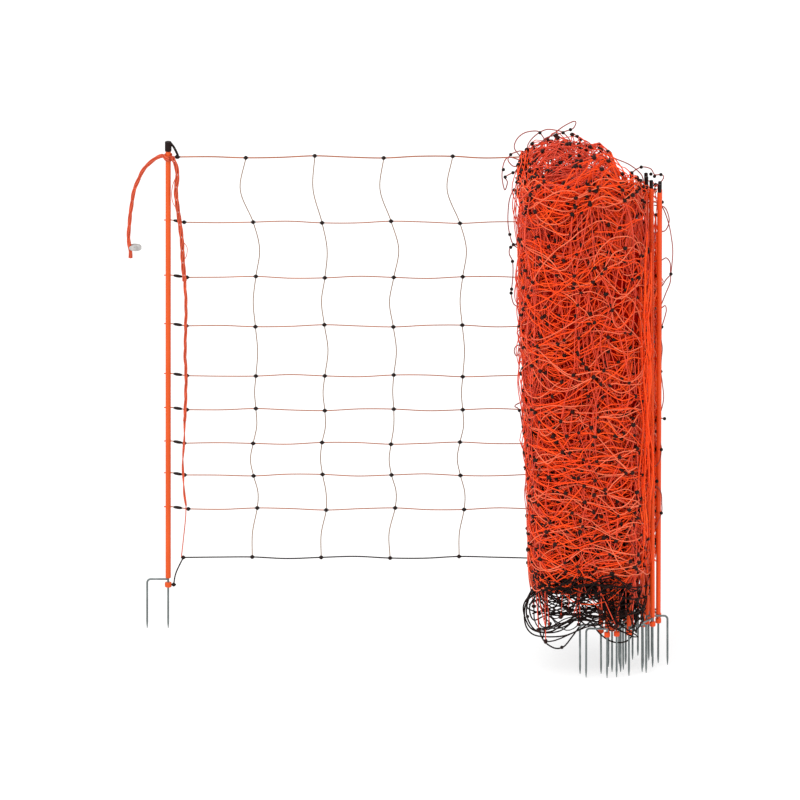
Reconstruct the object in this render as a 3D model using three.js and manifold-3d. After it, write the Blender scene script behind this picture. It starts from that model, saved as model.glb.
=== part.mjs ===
// Electrified sheep netting: an end post, a spread stretch of net, and the rest of the net folded
// in an upright bundle round its other posts. Millimetres, +Z up, spike tips on the ground.
import * as THREE from 'three';
import { mergeVertices } from 'three/addons/utils/BufferGeometryUtils.js';
import Module from 'manifold-3d';

const wasm = await Module();
wasm.setup();

// Clearance between pieces that touch, and how far the shapes of one piece reach into each other
const GAP = 0.3;
const OVERLAP = 1;

// Net
const ROW_HEIGHTS = [1068, 920, 795, 685, 572, 495, 419, 347, 270, 160];
// How far each row's knots lie beside the column's own line
const ROW_SHIFTS = [-22, -6, 0, -1, 0, 0, -6, -5, 3, -8];
const MESH_WIDTH = 151;
const COLUMN_COUNT = 5;
const FIRST_COLUMN_X = 41;
const STRAND_D = 2.6;
const UPRIGHT_D = 2.2;
const KNOT_D = 7.4;
const KNOT_DEPTH = 6;
const STRAND_WAVE = 2.5;
const WAVE_LENGTH = 260;
const ROW_PHASE = 1.9;
// Sideways slack of the upright strands, one value for each cell from the top
const CELL_BOWS = [-16, 11, -7, 6, -3, 4, -5, 5, -6];
const BOW_SPREAD = 0.3;
const BOW_PHASE = 2.1;
// How far the strands run into the folded net
// Length of the strands inside the folded netting
const STRAND_HOLD = 40;
const STRAND_SIDES = 4;
const HELD_SIDES = 6;
const STEPS_PER_CELL = 2;

// End post
const POST_D = 11.8;
const POST_TOP = 1099;
const POST_SIDES = 12;
const HOLE_RISE = 5;
const NUB_D = 5.5;
const NUB_LENGTH = 3;
// How far a held strand runs straight out of its hole
const HOLE_EXIT = 2;

// End post's cap with its hook arm
const CAP_D = 14.8;
const CAP_BOTTOM = 1081;
const CAP_ROOF = 4;
const HOOK_D = 4.4;
const HOOK_REACH = 21;
const HOOK_STEPS = 6;

// Steel double spike
const ROD_D = 4.5;
const ROD_SIDES = 6;
const STEP_STEPS = 13;
const STEP_HEIGHT = 111;
const STEP_REACH = 46;
const STEP_BEND_R = 8;
const POINT_LENGTH = 16;
const POINT_FLAT_D = 1.6;
const SPIGOT_LENGTH = 36;

// Foot ring under the step bar
const RING_D = 15;
const RING_DROP = 4.75;
const RING_TOP = STEP_HEIGHT - ROD_D / 2 - RING_DROP;
const RING_HEIGHT = 11;
const NECK_WIDTH = 3;
const NECK_DEPTH = 2.1;

// Posts in the bundle
const BUNDLED_POST_D = 10.4;
const BUNDLED_POST_TOP = 1087;
const BUNDLED_SIDES = 8;
const BUNDLED_RING_D = 13;
const BUNDLED_CAP_D = 8.4;
const BUNDLED_CAP_HEIGHT = 18;
const PLUG_D = 5;
const PLUG_LENGTH = 14;
// Foot x and y from the end post, the turn of the step bar in degrees, and the top's lean in x and y
const BUNDLED_POSTS = [
  { foot: [948, -387], turn: 180, lean: [-4, 6] },
  { foot: [961, -423], turn: 175, lean: [3, 8] },
  { foot: [982, -417], turn: 79, lean: [2, 10] },
  { foot: [1009, -406], turn: 35, lean: [0, 4] },
  { foot: [1040, -336], turn: 200, lean: [-8, 0] },
  { foot: [1061, -332], turn: 240, lean: [-3, -4] },
  { foot: [1073, -249], turn: 165, lean: [4, -84] },
  { foot: [1073, -297], turn: 108, lean: [3, -66] },
  { foot: [1047.5, -313], turn: 3, lean: [0, 8] },
  { foot: [1052.5, -274], turn: 200, lean: [-6, 0] },
  { foot: [1002, -308], turn: 255, lean: [0, 0] },
  { foot: [1017, -268], turn: 230, lean: [-2, 6] },
  { foot: [972, -372], turn: 100, lean: [0, 8] },
];

// Spacer sleeves on the strands beside the end post
const SLEEVE_D = 6;
const SLEEVE_LENGTH = 19;
const SLEEVE_START = 12;

// Connecting lead: its run beside the first column as [x, z], and its thickness between rows
const LEAD_ROUTE = [
  [8, 1071], [17, 1050], [20, 1027], [17, 993], [20, 959], [24, 929], [30, 880], [32, 834],
  [36, 789], [39, 732], [38, 676], [37, 619], [39, 578], [38, 517], [36, 471], [35, 426],
  [32, 381], [33, 345], [35, 308], [39, 279], [38, 250], [33, 200], [29, 163],
];
const LEAD_STRETCHES = [
  { first: 0, last: 8, diameter: 9 },
  { first: 8, last: 14, diameter: 6.4 },
  { first: 14, last: 19, diameter: 4.2 },
  { first: 19, last: 22, diameter: 2.4 },
];
const LEAD_SIDES = 6;
const LEAD_STEPS = 2;
const LEAD_WRAP_D = 4.4;
const LEAD_WRAP_Z = 1072;
const LEAD_WRAP_STEPS = 16;

// Free end of the lead, which arches out to the left: [x, y, z]
const TAIL_ROUTE = [
  [-11.2, 0, 1071], [-17, -0.5, 1070], [-25, -1, 1066.5], [-32, -1, 1062], [-39, -1, 1056],
  [-50, -1, 1045], [-58.5, -1, 1032], [-65, -1, 1017], [-71.5, -1, 1002], [-76, -1, 987],
  [-78.5, -0.5, 971], [-80.5, 0, 956], [-83, 0, 940], [-84.5, 0, 922], [-86, 0, 905],
  [-87, 0, 889], [-86, 0, 874], [-84, 0, 862], [-82.5, 0, 851], [-82.5, 0, 839],
];
const TAIL_D = 8.4;
const TAIL_SIDES = 8;
const TAIL_STEPS = 22;

// Clamp on the free end: two oval plates and a bolt
const CLAMP_CENTRE = [-72, 863];
const CLAMP_LENGTH = 27.5;
const CLAMP_WIDTH = 14.5;
const CLAMP_PLATE = 3;
const CLAMP_BOLT_D = 6;
const CLAMP_HEAD_D = 10;
const CLAMP_HEAD_HEIGHT = 4;
const CLAMP_SIDES = 8;
const HEX_SIDES = 6;

// Black lowest strand of the folded netting: a flat stack of folds over the step bars, with loops under it
const GROUND_FOLD_RISE = 6.75;
const GROUND_FOLD_BOTTOM = STEP_HEIGHT + ROD_D / 2 + GROUND_FOLD_RISE;
const GROUND_FOLD_HEIGHT = 50;
const GROUND_LEFT = 778;
const GROUND_RIGHT = 1058;
const GROUND_BACK = 14;
const GROUND_FRONT = -443;
const GROUND_SEGMENTS = 24;
const GROUND_LUMP = 0.02;
const GROUND_LUMPS = 4;
const GROUND_LOOP_D = 7;
const GROUND_LOOP_SIDES = 6;
const GROUND_LOOP_STEPS = 8;
const GROUND_LOOPS = [
  { x: 812, y: -120, width: 44, drop: 24 },
  { x: 806, y: -210, width: 56, drop: 38 },
  { x: 838, y: -290, width: 64, drop: 54 },
  { x: 812, y: -360, width: 48, drop: 42 },
];

// Folded netting of the bundle: a domed upright body, its plan a rounded box that is narrower at the back
const FOLD_BOTTOM = GROUND_FOLD_BOTTOM + GROUND_FOLD_HEIGHT;
const FOLD_TOP = 1168;
const FOLD_LEFT_AT_TOP = 744;
const FOLD_LEFT_AT_FOOT = 786;
const FOLD_RIGHT = 1074;
const FOLD_BACK = 14;
const FOLD_FRONT = -455;
// Share of the width that the back lacks
const FOLD_NARROWING = 0.72;
const FOLD_SQUARENESS = 3;
const FOLD_SEGMENTS = 28;
const FOLD_LUMP = 0.018;
const FOLD_LUMPS = 5;
const FOLD_LUMP_PITCH = 130;
const FOLD_BAND = 150;
const FOLD_FOOT_SHARE = 0.9;
const FOLD_FOOT_CURVE = 40;
const FOLD_RIGHT_DROP = 75;
const SHOULDER = 120;
const DOME_STEPS = 5;
const DOME_FULLNESS = 0.7;

// Length by which a bundled post's way through the folds starts below its step bar
const CHANNEL_SPARE = 20;

const UP = new THREE.Vector3(0, 0, 1);

function plastic(colour, roughness) {
  return new THREE.MeshStandardMaterial({ color: colour, roughness, metalness: 0 });
}

const ORANGE_PLASTIC = 0xe8642c;
const BLACK_PLASTIC = 0x1c1b1b;
const ORANGE_TWINE = 0xd4502c;
const STEEL = 0x9ba09e;

function steel() {
  return new THREE.MeshStandardMaterial({ color: STEEL, roughness: 0.4, metalness: 1 });
}

// A closed geometry as a solid that can be joined and cut
function solidOf(geometry) {
  const bare = geometry.clone();
  bare.deleteAttribute('normal');
  bare.deleteAttribute('uv');
  const merged = mergeVertices(bare, 1e-4);
  const corners = merged.index.array;
  const kept = [];
  for (let i = 0; i < corners.length; i += 3) {
    const [a, b, c] = [corners[i], corners[i + 1], corners[i + 2]];
    if (a !== b && b !== c && c !== a) kept.push(a, b, c);
  }
  const vertProperties = merged.attributes.position.array;
  return new wasm.Manifold(new wasm.Mesh({ numProp: 3, vertProperties, triVerts: new Uint32Array(kept) }));
}

// A solid as a named mesh
function meshOf(name, solid, material) {
  const { vertProperties, triVerts } = solid.getMesh();
  const geometry = new THREE.BufferGeometry();
  geometry.setAttribute('position', new THREE.BufferAttribute(vertProperties, 3));
  geometry.setIndex(new THREE.BufferAttribute(triVerts, 1));
  geometry.computeVertexNormals();
  const mesh = new THREE.Mesh(geometry, material);
  mesh.name = name;
  return mesh;
}

function join(solids) {
  return solids.reduce((whole, solid) => whole.add(solid));
}

// An upright round bar, or a cone where the two diameters differ
function barGeometry(lowD, highD, low, high, sides) {
  const geometry = new THREE.CylinderGeometry(highD / 2, lowD / 2, high - low, sides);
  geometry.rotateX(Math.PI / 2);
  geometry.translate(0, 0, (low + high) / 2);
  return geometry;
}

function bar(diameter, low, high, sides) {
  return solidOf(barGeometry(diameter, diameter, low, high, sides));
}

// A straight round bar between two points
function barBetween(start, end, diameter, sides) {
  const from = new THREE.Vector3(...start);
  const to = new THREE.Vector3(...end);
  const geometry = barGeometry(diameter, diameter, 0, from.distanceTo(to), sides);
  geometry.applyQuaternion(new THREE.Quaternion().setFromUnitVectors(UP, to.clone().sub(from).normalize()));
  geometry.translate(from.x, from.y, from.z);
  return solidOf(geometry);
}

// A round tube along a smooth curve through the points
function tube(points, diameter, sides, steps) {
  const route = new THREE.CatmullRomCurve3(points.map((point) => new THREE.Vector3(...point)));
  const corners = [];
  for (let i = 0; i < sides; i += 1) {
    const angle = (2 * Math.PI * (i + 0.5)) / sides;
    corners.push(new THREE.Vector2(Math.cos(angle), Math.sin(angle)).multiplyScalar(diameter / 2));
  }
  const section = new THREE.Shape(corners);
  return solidOf(new THREE.ExtrudeGeometry(section, { steps, extrudePath: route, bevelEnabled: false }));
}

// Net geometry: where a row runs and where it is knotted
function rowZ(row, x) {
  const settled = THREE.MathUtils.smoothstep(x, FIRST_COLUMN_X, FIRST_COLUMN_X + MESH_WIDTH);
  const wave = Math.sin((2 * Math.PI * x) / WAVE_LENGTH + ROW_PHASE * row);
  return ROW_HEIGHTS[row] + settled * STRAND_WAVE * wave;
}

function knotAt(row, column) {
  const x = FIRST_COLUMN_X + column * MESH_WIDTH + ROW_SHIFTS[row];
  return [x, 0, rowZ(row, x)];
}

function holeZ(row) {
  return ROW_HEIGHTS[row] + HOLE_RISE;
}

const LAST_ROW = ROW_HEIGHTS.length - 1;
const HELD_ROWS = ROW_HEIGHTS.map((height, row) => row).filter((row) => row > 0 && row < LAST_ROW);

// End post
function postHole(row) {
  const x = POST_D;
  return barBetween([-x, 0, holeZ(row)], [x, 0, holeZ(row)], STRAND_D + 2 * GAP, HELD_SIDES);
}

function spigotHole(sides) {
  const top = STEP_HEIGHT + ROD_D / 2 + SPIGOT_LENGTH + GAP;
  return bar(ROD_D + 2 * GAP, 0, top, sides);
}

function endPostShaft() {
  let shaft = bar(POST_D, STEP_HEIGHT + ROD_D / 2 + GAP, POST_TOP, POST_SIDES);
  shaft = shaft.subtract(spigotHole(ROD_SIDES));
  for (const row of HELD_ROWS) {
    shaft = shaft.subtract(postHole(row));
  }
  return shaft;
}

function endPostCap() {
  const top = POST_TOP + GAP + CAP_ROOF;
  const body = bar(CAP_D, CAP_BOTTOM, top, POST_SIDES);
  const socket = bar(POST_D + 2 * GAP, CAP_BOTTOM - OVERLAP, POST_TOP + GAP, POST_SIDES);
  const low = ROW_HEIGHTS[0] + KNOT_D / 2 + GAP;
  const arm = tube([
    [CAP_D / 2 - 2 * OVERLAP, 0, top - HOOK_D],
    [HOOK_REACH * 0.7, 0, top - HOOK_D * 1.6],
    [HOOK_REACH * 0.95, 0, (top + low) / 2],
    [HOOK_REACH, 0, low],
  ], HOOK_D, HELD_SIDES, HOOK_STEPS);
  return body.add(arm).subtract(socket);
}

function spike() {
  const barStart = STEP_HEIGHT + ROD_D / 2 + SPIGOT_LENGTH;
  const main = bar(ROD_D, POINT_LENGTH, barStart, ROD_SIDES);
  const point = barGeometry(POINT_FLAT_D, ROD_D, 0, POINT_LENGTH, ROD_SIDES);
  const sidePoint = barGeometry(POINT_FLAT_D, ROD_D, 0, POINT_LENGTH + GAP, ROD_SIDES);
  const bend = STEP_BEND_R;
  const step = tube([
    [0, 0, STEP_HEIGHT],
    [STEP_REACH - bend, 0, STEP_HEIGHT],
    [STEP_REACH - bend * 0.3, 0, STEP_HEIGHT - bend * 0.3],
    [STEP_REACH, 0, STEP_HEIGHT - bend],
    [STEP_REACH, 0, POINT_LENGTH],
  ], ROD_D, ROD_SIDES, STEP_STEPS);
  return join([main, solidOf(point), step, solidOf(sidePoint.translate(STEP_REACH, 0, 0))]);
}

function footRing(diameter, sides) {
  const ring = bar(diameter, RING_TOP - RING_HEIGHT, RING_TOP, sides);
  return ring.subtract(bar(ROD_D + 2 * GAP, 0, RING_TOP + OVERLAP, ROD_SIDES));
}

// Bundled post: the shaft's foot ring hangs on a short neck behind the step bar
function bundledShaft() {
  const bottom = STEP_HEIGHT + ROD_D / 2 + GAP;
  const shaft = bar(BUNDLED_POST_D, bottom, BUNDLED_POST_TOP, BUNDLED_SIDES).subtract(spigotHole(ROD_SIDES));
  const neckX = -(BUNDLED_POST_D - NECK_WIDTH) / 2;
  const neck = new THREE.BoxGeometry(NECK_DEPTH, NECK_WIDTH, bottom - RING_TOP + 2 * OVERLAP);
  neck.translate(neckX, 0, (bottom + RING_TOP) / 2);
  const plugBottom = BUNDLED_POST_TOP - PLUG_LENGTH;
  const plugHole = bar(PLUG_D + 2 * GAP, plugBottom - GAP, BUNDLED_POST_TOP + OVERLAP, ROD_SIDES);
  return join([shaft, solidOf(neck), footRing(BUNDLED_RING_D, BUNDLED_SIDES)]).subtract(plugHole);
}

function bundledCap() {
  const low = BUNDLED_POST_TOP + GAP;
  const body = bar(BUNDLED_CAP_D, low, low + BUNDLED_CAP_HEIGHT, BUNDLED_SIDES);
  return body.add(bar(PLUG_D, BUNDLED_POST_TOP - PLUG_LENGTH, low + OVERLAP, ROD_SIDES));
}

function bundledPostGroup(place) {
  const group = new THREE.Group();
  const top = new THREE.Vector3(...place.lean, BUNDLED_POST_TOP).normalize();
  const leaning = new THREE.Quaternion().setFromUnitVectors(UP, top);
  const turned = new THREE.Quaternion().setFromAxisAngle(UP, THREE.MathUtils.degToRad(place.turn));
  group.quaternion.copy(leaning.multiply(turned));
  group.position.set(place.foot[0], place.foot[1], 0);
  group.updateMatrix();
  return group;
}

// The way that a bundled post keeps free through the folded net
function postChannel(group) {
  const low = STEP_HEIGHT - CHANNEL_SPARE;
  const high = BUNDLED_POST_TOP + BUNDLED_CAP_HEIGHT + 2 * GAP;
  const geometry = barGeometry(BUNDLED_POST_D + 2 * GAP, BUNDLED_POST_D + 2 * GAP, low, high, BUNDLED_SIDES);
  return solidOf(geometry.applyMatrix4(group.matrix));
}

// Net panel: rows, uprights and knots, joined where they cross
function rowStrand(row) {
  const points = [];
  for (let column = 0; column < COLUMN_COUNT; column += 1) {
    const knot = knotAt(row, column);
    const middle = knot[0] + MESH_WIDTH / 2;
    points.push(knot, [middle, 0, rowZ(row, middle)]);
  }
  const end = foldLeft(ROW_HEIGHTS[row]) + STRAND_HOLD;
  points.push([end, 0, rowZ(row, end)]);
  return tube(points, STRAND_D, STRAND_SIDES, COLUMN_COUNT * STEPS_PER_CELL + 1);
}

function upright(column) {
  const points = [];
  for (let row = 0; row < LAST_ROW; row += 1) {
    const upper = knotAt(row, column);
    const lower = knotAt(row + 1, column);
    const bow = CELL_BOWS[row] * (1 + BOW_SPREAD * Math.sin(BOW_PHASE * column + row));
    points.push(upper, [(upper[0] + lower[0]) / 2 + bow, 0, (upper[2] + lower[2]) / 2]);
  }
  points.push(knotAt(LAST_ROW, column));
  return tube(points, UPRIGHT_D, STRAND_SIDES, LAST_ROW * STEPS_PER_CELL);
}

function knot(centre) {
  return solidOf(new THREE.BoxGeometry(KNOT_D, KNOT_DEPTH, KNOT_D).translate(...centre));
}

// What holds a row at the end post: a strand through the post's hole with a knot behind it
function heldEnd(row) {
  const holeEdge = POST_D / 2 + HOLE_EXIT;
  const nubX = -POST_D / 2 - GAP;
  return join([
    barBetween([nubX - NUB_LENGTH, 0, holeZ(row)], [nubX, 0, holeZ(row)], NUB_D, HELD_SIDES),
    barBetween([nubX - OVERLAP, 0, holeZ(row)], [holeEdge, 0, holeZ(row)], STRAND_D, HELD_SIDES),
    barBetween([holeEdge - OVERLAP / 2, 0, holeZ(row)], knotAt(row, 0), STRAND_D, HELD_SIDES),
  ]);
}

function netPanel(folds) {
  const pieces = ROW_HEIGHTS.map((height, row) => rowStrand(row));
  pieces.push(...HELD_ROWS.map(heldEnd));
  const hookKnot = [HOOK_REACH, 0, ROW_HEIGHTS[0]];
  pieces.push(knot(hookKnot), barBetween(hookKnot, knotAt(0, 1), STRAND_D, STRAND_SIDES));
  const footKnot = [RING_D / 2 + GAP + KNOT_D / 2, 0, RING_TOP - RING_HEIGHT / 2];
  pieces.push(knot(footKnot), barBetween(footKnot, knotAt(LAST_ROW, 0), STRAND_D, STRAND_SIDES));
  for (let column = 0; column < COLUMN_COUNT; column += 1) {
    if (column > 0) pieces.push(upright(column));
    pieces.push(...ROW_HEIGHTS.map((height, row) => knot(knotAt(row, column))));
  }
  return join(pieces).subtract(folds);
}

// Spacer sleeve on the strand between the post and the first column
function sleeve(row) {
  const from = new THREE.Vector3(POST_D / 2 + HOLE_EXIT, 0, holeZ(row));
  const to = new THREE.Vector3(...knotAt(row, 0));
  const along = to.clone().sub(from).normalize();
  const inner = STRAND_D / 2 + GAP;
  const profile = [
    new THREE.Vector2(inner, 0),
    new THREE.Vector2(SLEEVE_D / 2, 0),
    new THREE.Vector2(SLEEVE_D / 2, SLEEVE_LENGTH),
    new THREE.Vector2(inner, SLEEVE_LENGTH),
    new THREE.Vector2(inner, 0),
  ];
  const geometry = new THREE.LatheGeometry(profile, HELD_SIDES);
  geometry.rotateX(Math.PI / 2);
  geometry.applyQuaternion(new THREE.Quaternion().setFromUnitVectors(UP, along));
  const start = from.addScaledVector(along, (SLEEVE_START - from.x) / along.x);
  geometry.translate(start.x, start.y, start.z);
  return solidOf(geometry);
}

// Connecting lead: it lies in front of the first column's knots and wraps the post once
function connectingLead() {
  const wrapR = (POST_D + LEAD_WRAP_D) / 2 + GAP;
  const wrap = new THREE.TorusGeometry(wrapR, LEAD_WRAP_D / 2, LEAD_SIDES, LEAD_WRAP_STEPS);
  const pieces = [solidOf(wrap.translate(0, 0, LEAD_WRAP_Z))];
  for (const { first, last, diameter } of LEAD_STRETCHES) {
    const y = -(KNOT_DEPTH / 2 + GAP + diameter / 2);
    const points = LEAD_ROUTE.slice(first, last + 1).map(([x, z]) => [x, y, z]);
    pieces.push(tube(points, diameter, LEAD_SIDES, LEAD_STEPS * (last - first)));
  }
  return join(pieces);
}

function leadTail() {
  return tube(TAIL_ROUTE, TAIL_D, TAIL_SIDES, TAIL_STEPS);
}

function clampPlate(y) {
  const outline = new THREE.Shape();
  const straight = (CLAMP_LENGTH - CLAMP_WIDTH) / 2;
  outline.absarc(straight, 0, CLAMP_WIDTH / 2, -Math.PI / 2, Math.PI / 2, false);
  outline.absarc(-straight, 0, CLAMP_WIDTH / 2, Math.PI / 2, 1.5 * Math.PI, false);
  const settings = { depth: CLAMP_PLATE, bevelEnabled: false, curveSegments: CLAMP_SIDES };
  const geometry = new THREE.ExtrudeGeometry(outline, settings);
  geometry.rotateX(Math.PI / 2);
  geometry.translate(CLAMP_CENTRE[0], y + CLAMP_PLATE, CLAMP_CENTRE[1]);
  return solidOf(geometry);
}

function leadClamp() {
  const inside = TAIL_D / 2 + GAP;
  const [x, z] = CLAMP_CENTRE;
  const front = -inside - CLAMP_PLATE;
  return join([
    clampPlate(front),
    clampPlate(inside),
    barBetween([x, front + OVERLAP, z], [x, inside + OVERLAP, z], CLAMP_BOLT_D, CLAMP_SIDES),
    barBetween([x, front - CLAMP_HEAD_HEIGHT, z], [x, front + OVERLAP, z], CLAMP_HEAD_D, HEX_SIDES),
  ]);
}

// Left edge of the folded netting at a height
function foldLeft(z) {
  const rise = THREE.MathUtils.smoothstep(z, FOLD_BOTTOM, FOLD_TOP - SHOULDER);
  return THREE.MathUtils.lerp(FOLD_LEFT_AT_FOOT, FOLD_LEFT_AT_TOP, rise);
}

// Plan outline of a folded body, as [x, y] at an angle: a rounded box with shallow lumps, narrower at the back
function foldOutline(angle, left, right, front, back, lump) {
  const power = 2 / FOLD_SQUARENESS;
  const c = Math.cos(angle);
  const s = Math.sin(angle);
  const x = Math.sign(c) * Math.abs(c) ** power * lump;
  const y = Math.sign(s) * Math.abs(s) ** power * lump;
  const across = ((1 + x) * (right - left)) / 2;
  const along = (front + back) / 2 + (y * (back - front)) / 2;
  const narrowing = FOLD_NARROWING * THREE.MathUtils.smoothstep(along, (front + back) / 2, back);
  return [left + across * (1 - narrowing), along];
}

// Folded netting, grown by an even margin where another piece has to keep clear of it
function foldedNet(margin) {
  const bottom = FOLD_BOTTOM - margin;
  const top = FOLD_TOP + margin;
  const profile = [[0, bottom], [FOLD_FOOT_SHARE, bottom], [1, bottom + FOLD_FOOT_CURVE]];
  for (let height = bottom + FOLD_BAND; height < top - SHOULDER; height += FOLD_BAND) {
    profile.push([1, height]);
  }
  for (let i = 1; i <= DOME_STEPS; i += 1) {
    const angle = (i * Math.PI) / (2 * DOME_STEPS);
    profile.push([Math.cos(angle) ** DOME_FULLNESS, top - SHOULDER + SHOULDER * Math.sin(angle)]);
  }
  profile[profile.length - 1][0] = 0;
  const geometry = new THREE.LatheGeometry(profile.map(([r, z]) => new THREE.Vector2(r, z)), FOLD_SEGMENTS);
  geometry.rotateX(Math.PI / 2);
  const position = geometry.attributes.position;
  for (let i = 0; i < position.count; i += 1) {
    const reach = Math.hypot(position.getX(i), position.getY(i));
    const angle = Math.atan2(position.getY(i), position.getX(i));
    const z = position.getZ(i);
    const left = foldLeft(z) - margin;
    const lump = 1 + FOLD_LUMP * (Math.sin(FOLD_LUMPS * angle + z / FOLD_LUMP_PITCH) - 1);
    const right = FOLD_RIGHT + margin;
    const [x, y] = foldOutline(angle, left, right, FOLD_FRONT - margin, FOLD_BACK + margin, lump);
    const middleX = (left + FOLD_RIGHT) / 2;
    const middleY = (FOLD_FRONT + FOLD_BACK) / 2;
    const px = middleX + (x - middleX) * reach;
    const py = middleY + (y - middleY) * reach;
    const toRight = THREE.MathUtils.smoothstep(px, middleX, FOLD_RIGHT);
    const high = THREE.MathUtils.smoothstep(z, FOLD_TOP - 2 * SHOULDER, FOLD_TOP);
    position.setXYZ(i, px, py, z - FOLD_RIGHT_DROP * toRight * high);
  }
  return solidOf(geometry);
}

// Folds of the black lowest strand under the netting, grown like the netting above
function foldedGroundStrand(margin) {
  const outline = new THREE.Shape();
  for (let i = 0; i < GROUND_SEGMENTS; i += 1) {
    const angle = (2 * Math.PI * i) / GROUND_SEGMENTS;
    const lump = 1 + GROUND_LUMP * (Math.sin(GROUND_LUMPS * angle) - 1);
    const [x, y] = foldOutline(
      angle,
      GROUND_LEFT - margin,
      GROUND_RIGHT + margin,
      GROUND_FRONT - margin,
      GROUND_BACK + margin,
      lump,
    );
    if (i === 0) outline.moveTo(x, y);
    else outline.lineTo(x, y);
  }
  const depth = FOLD_BOTTOM - GAP - GROUND_FOLD_BOTTOM + 2 * margin;
  const slab = new THREE.ExtrudeGeometry(outline, { depth, bevelEnabled: false });
  slab.translate(0, 0, GROUND_FOLD_BOTTOM - margin);
  const pieces = [solidOf(slab)];
  for (const { x, y, width, drop } of GROUND_LOOPS) {
    const start = GROUND_FOLD_BOTTOM + GROUND_LOOP_D;
    const middle = GROUND_FOLD_BOTTOM - drop / 2;
    pieces.push(tube([
      [x - width / 2, y, start],
      [x - width * 0.4, y, middle],
      [x, y, GROUND_FOLD_BOTTOM - drop],
      [x + width * 0.4, y, middle],
      [x + width / 2, y, start],
    ], GROUND_LOOP_D, GROUND_LOOP_SIDES, GROUND_LOOP_STEPS));
  }
  return join(pieces);
}

const net = new THREE.Group();

net.add(
  meshOf('end_post_shaft', endPostShaft(), plastic(ORANGE_PLASTIC, 0.45)),
  meshOf('end_post_cap', endPostCap(), plastic(BLACK_PLASTIC, 0.5)),
  meshOf('end_post_foot_ring', footRing(RING_D, POST_SIDES), plastic(ORANGE_PLASTIC, 0.45)),
);
const endSpike = meshOf('end_post_spike', spike(), steel());
endSpike.rotation.z = Math.PI;
net.add(endSpike);

const channels = [];
BUNDLED_POSTS.forEach((place, index) => {
  const number = String(index + 1).padStart(2, '0');
  const post = bundledPostGroup(place);
  channels.push(postChannel(post));
  post.add(
    meshOf(`bundled_post_${number}_shaft`, bundledShaft(), plastic(ORANGE_PLASTIC, 0.45)),
    meshOf(`bundled_post_${number}_cap`, bundledCap(), plastic(BLACK_PLASTIC, 0.5)),
    meshOf(`bundled_post_${number}_spike`, spike(), steel()),
  );
  net.add(post);
});

const allChannels = join(channels);
net.add(
  meshOf('folded_netting', foldedNet(0).subtract(allChannels), plastic(ORANGE_TWINE, 0.8)),
  meshOf('folded_ground_strand', foldedGroundStrand(0).subtract(allChannels), plastic(BLACK_PLASTIC, 0.7)),
  meshOf('net_panel', netPanel(foldedNet(GAP).add(foldedGroundStrand(GAP))), plastic(ORANGE_TWINE, 0.8)),
  meshOf('connecting_lead', connectingLead(), plastic(ORANGE_TWINE, 0.8)),
);
for (const row of HELD_ROWS) {
  net.add(meshOf(`spacer_sleeve_${row + 1}`, sleeve(row), plastic(BLACK_PLASTIC, 0.6)));
}

// The origin is under the middle of all but the free end and its clamp
net.updateMatrixWorld(true);
const reach = new THREE.Box3().setFromObject(net, true);
net.add(
  meshOf('lead_tail', leadTail(), plastic(ORANGE_TWINE, 0.8)),
  meshOf('lead_clamp', leadClamp(), steel()),
);
net.position.set(-(reach.min.x + reach.max.x) / 2, -(reach.min.y + reach.max.y) / 2, -reach.min.z);

export default net;
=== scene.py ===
"""Sheep netting: an end post, a spread stretch of net and the rest folded in an upright bundle.

Every length is in metres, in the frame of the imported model. Net coordinates count from the foot of
the end post: x along the spread net, y away from the viewer, z up from the spike tips.
"""

import logging
import math
from dataclasses import dataclass, field, replace
from enum import Enum
from typing import Iterable, Sequence

import bmesh
import bpy
import numpy as np
from mathutils import Matrix, Quaternion, Vector

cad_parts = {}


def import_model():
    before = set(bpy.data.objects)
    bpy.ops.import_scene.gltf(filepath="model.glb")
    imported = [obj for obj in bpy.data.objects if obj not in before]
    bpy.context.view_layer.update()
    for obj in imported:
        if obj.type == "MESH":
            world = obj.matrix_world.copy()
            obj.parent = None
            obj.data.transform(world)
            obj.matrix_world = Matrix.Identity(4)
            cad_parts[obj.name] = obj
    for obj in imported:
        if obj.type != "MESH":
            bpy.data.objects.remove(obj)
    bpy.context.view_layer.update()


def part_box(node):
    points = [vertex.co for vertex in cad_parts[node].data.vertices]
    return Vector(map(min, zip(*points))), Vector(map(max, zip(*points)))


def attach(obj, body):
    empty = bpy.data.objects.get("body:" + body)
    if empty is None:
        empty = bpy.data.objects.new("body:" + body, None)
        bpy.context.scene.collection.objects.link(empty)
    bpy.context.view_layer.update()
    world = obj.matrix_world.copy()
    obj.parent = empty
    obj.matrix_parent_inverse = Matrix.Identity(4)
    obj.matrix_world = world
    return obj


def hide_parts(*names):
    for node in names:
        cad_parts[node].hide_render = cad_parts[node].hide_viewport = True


LOG = logging.getLogger("sheep_netting")

MM = 0.001
UP = Vector((0.0, 0.0, 1.0))


class Role(Enum):
    """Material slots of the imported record."""

    ORANGE_PLASTIC = "orange_plastic"
    BLACK_PLASTIC = "black_plastic"
    STEEL = "galvanised_steel"
    ORANGE_TWINE = "orange_twine"
    BLACK_TWINE = "black_twine"


class Pattern(Enum):
    """How a finish's surface varies."""

    MOULDED = "moulded"
    TWISTED = "twisted"
    ZINC = "zinc"


def net_origin() -> Vector:
    """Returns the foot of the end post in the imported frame."""
    low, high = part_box("end_post_spike")
    shaft_low, shaft_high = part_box("end_post_shaft")
    middle = (shaft_low + shaft_high) / 2
    return Vector((middle.x, middle.y, low.z))


# Shader groups


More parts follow.
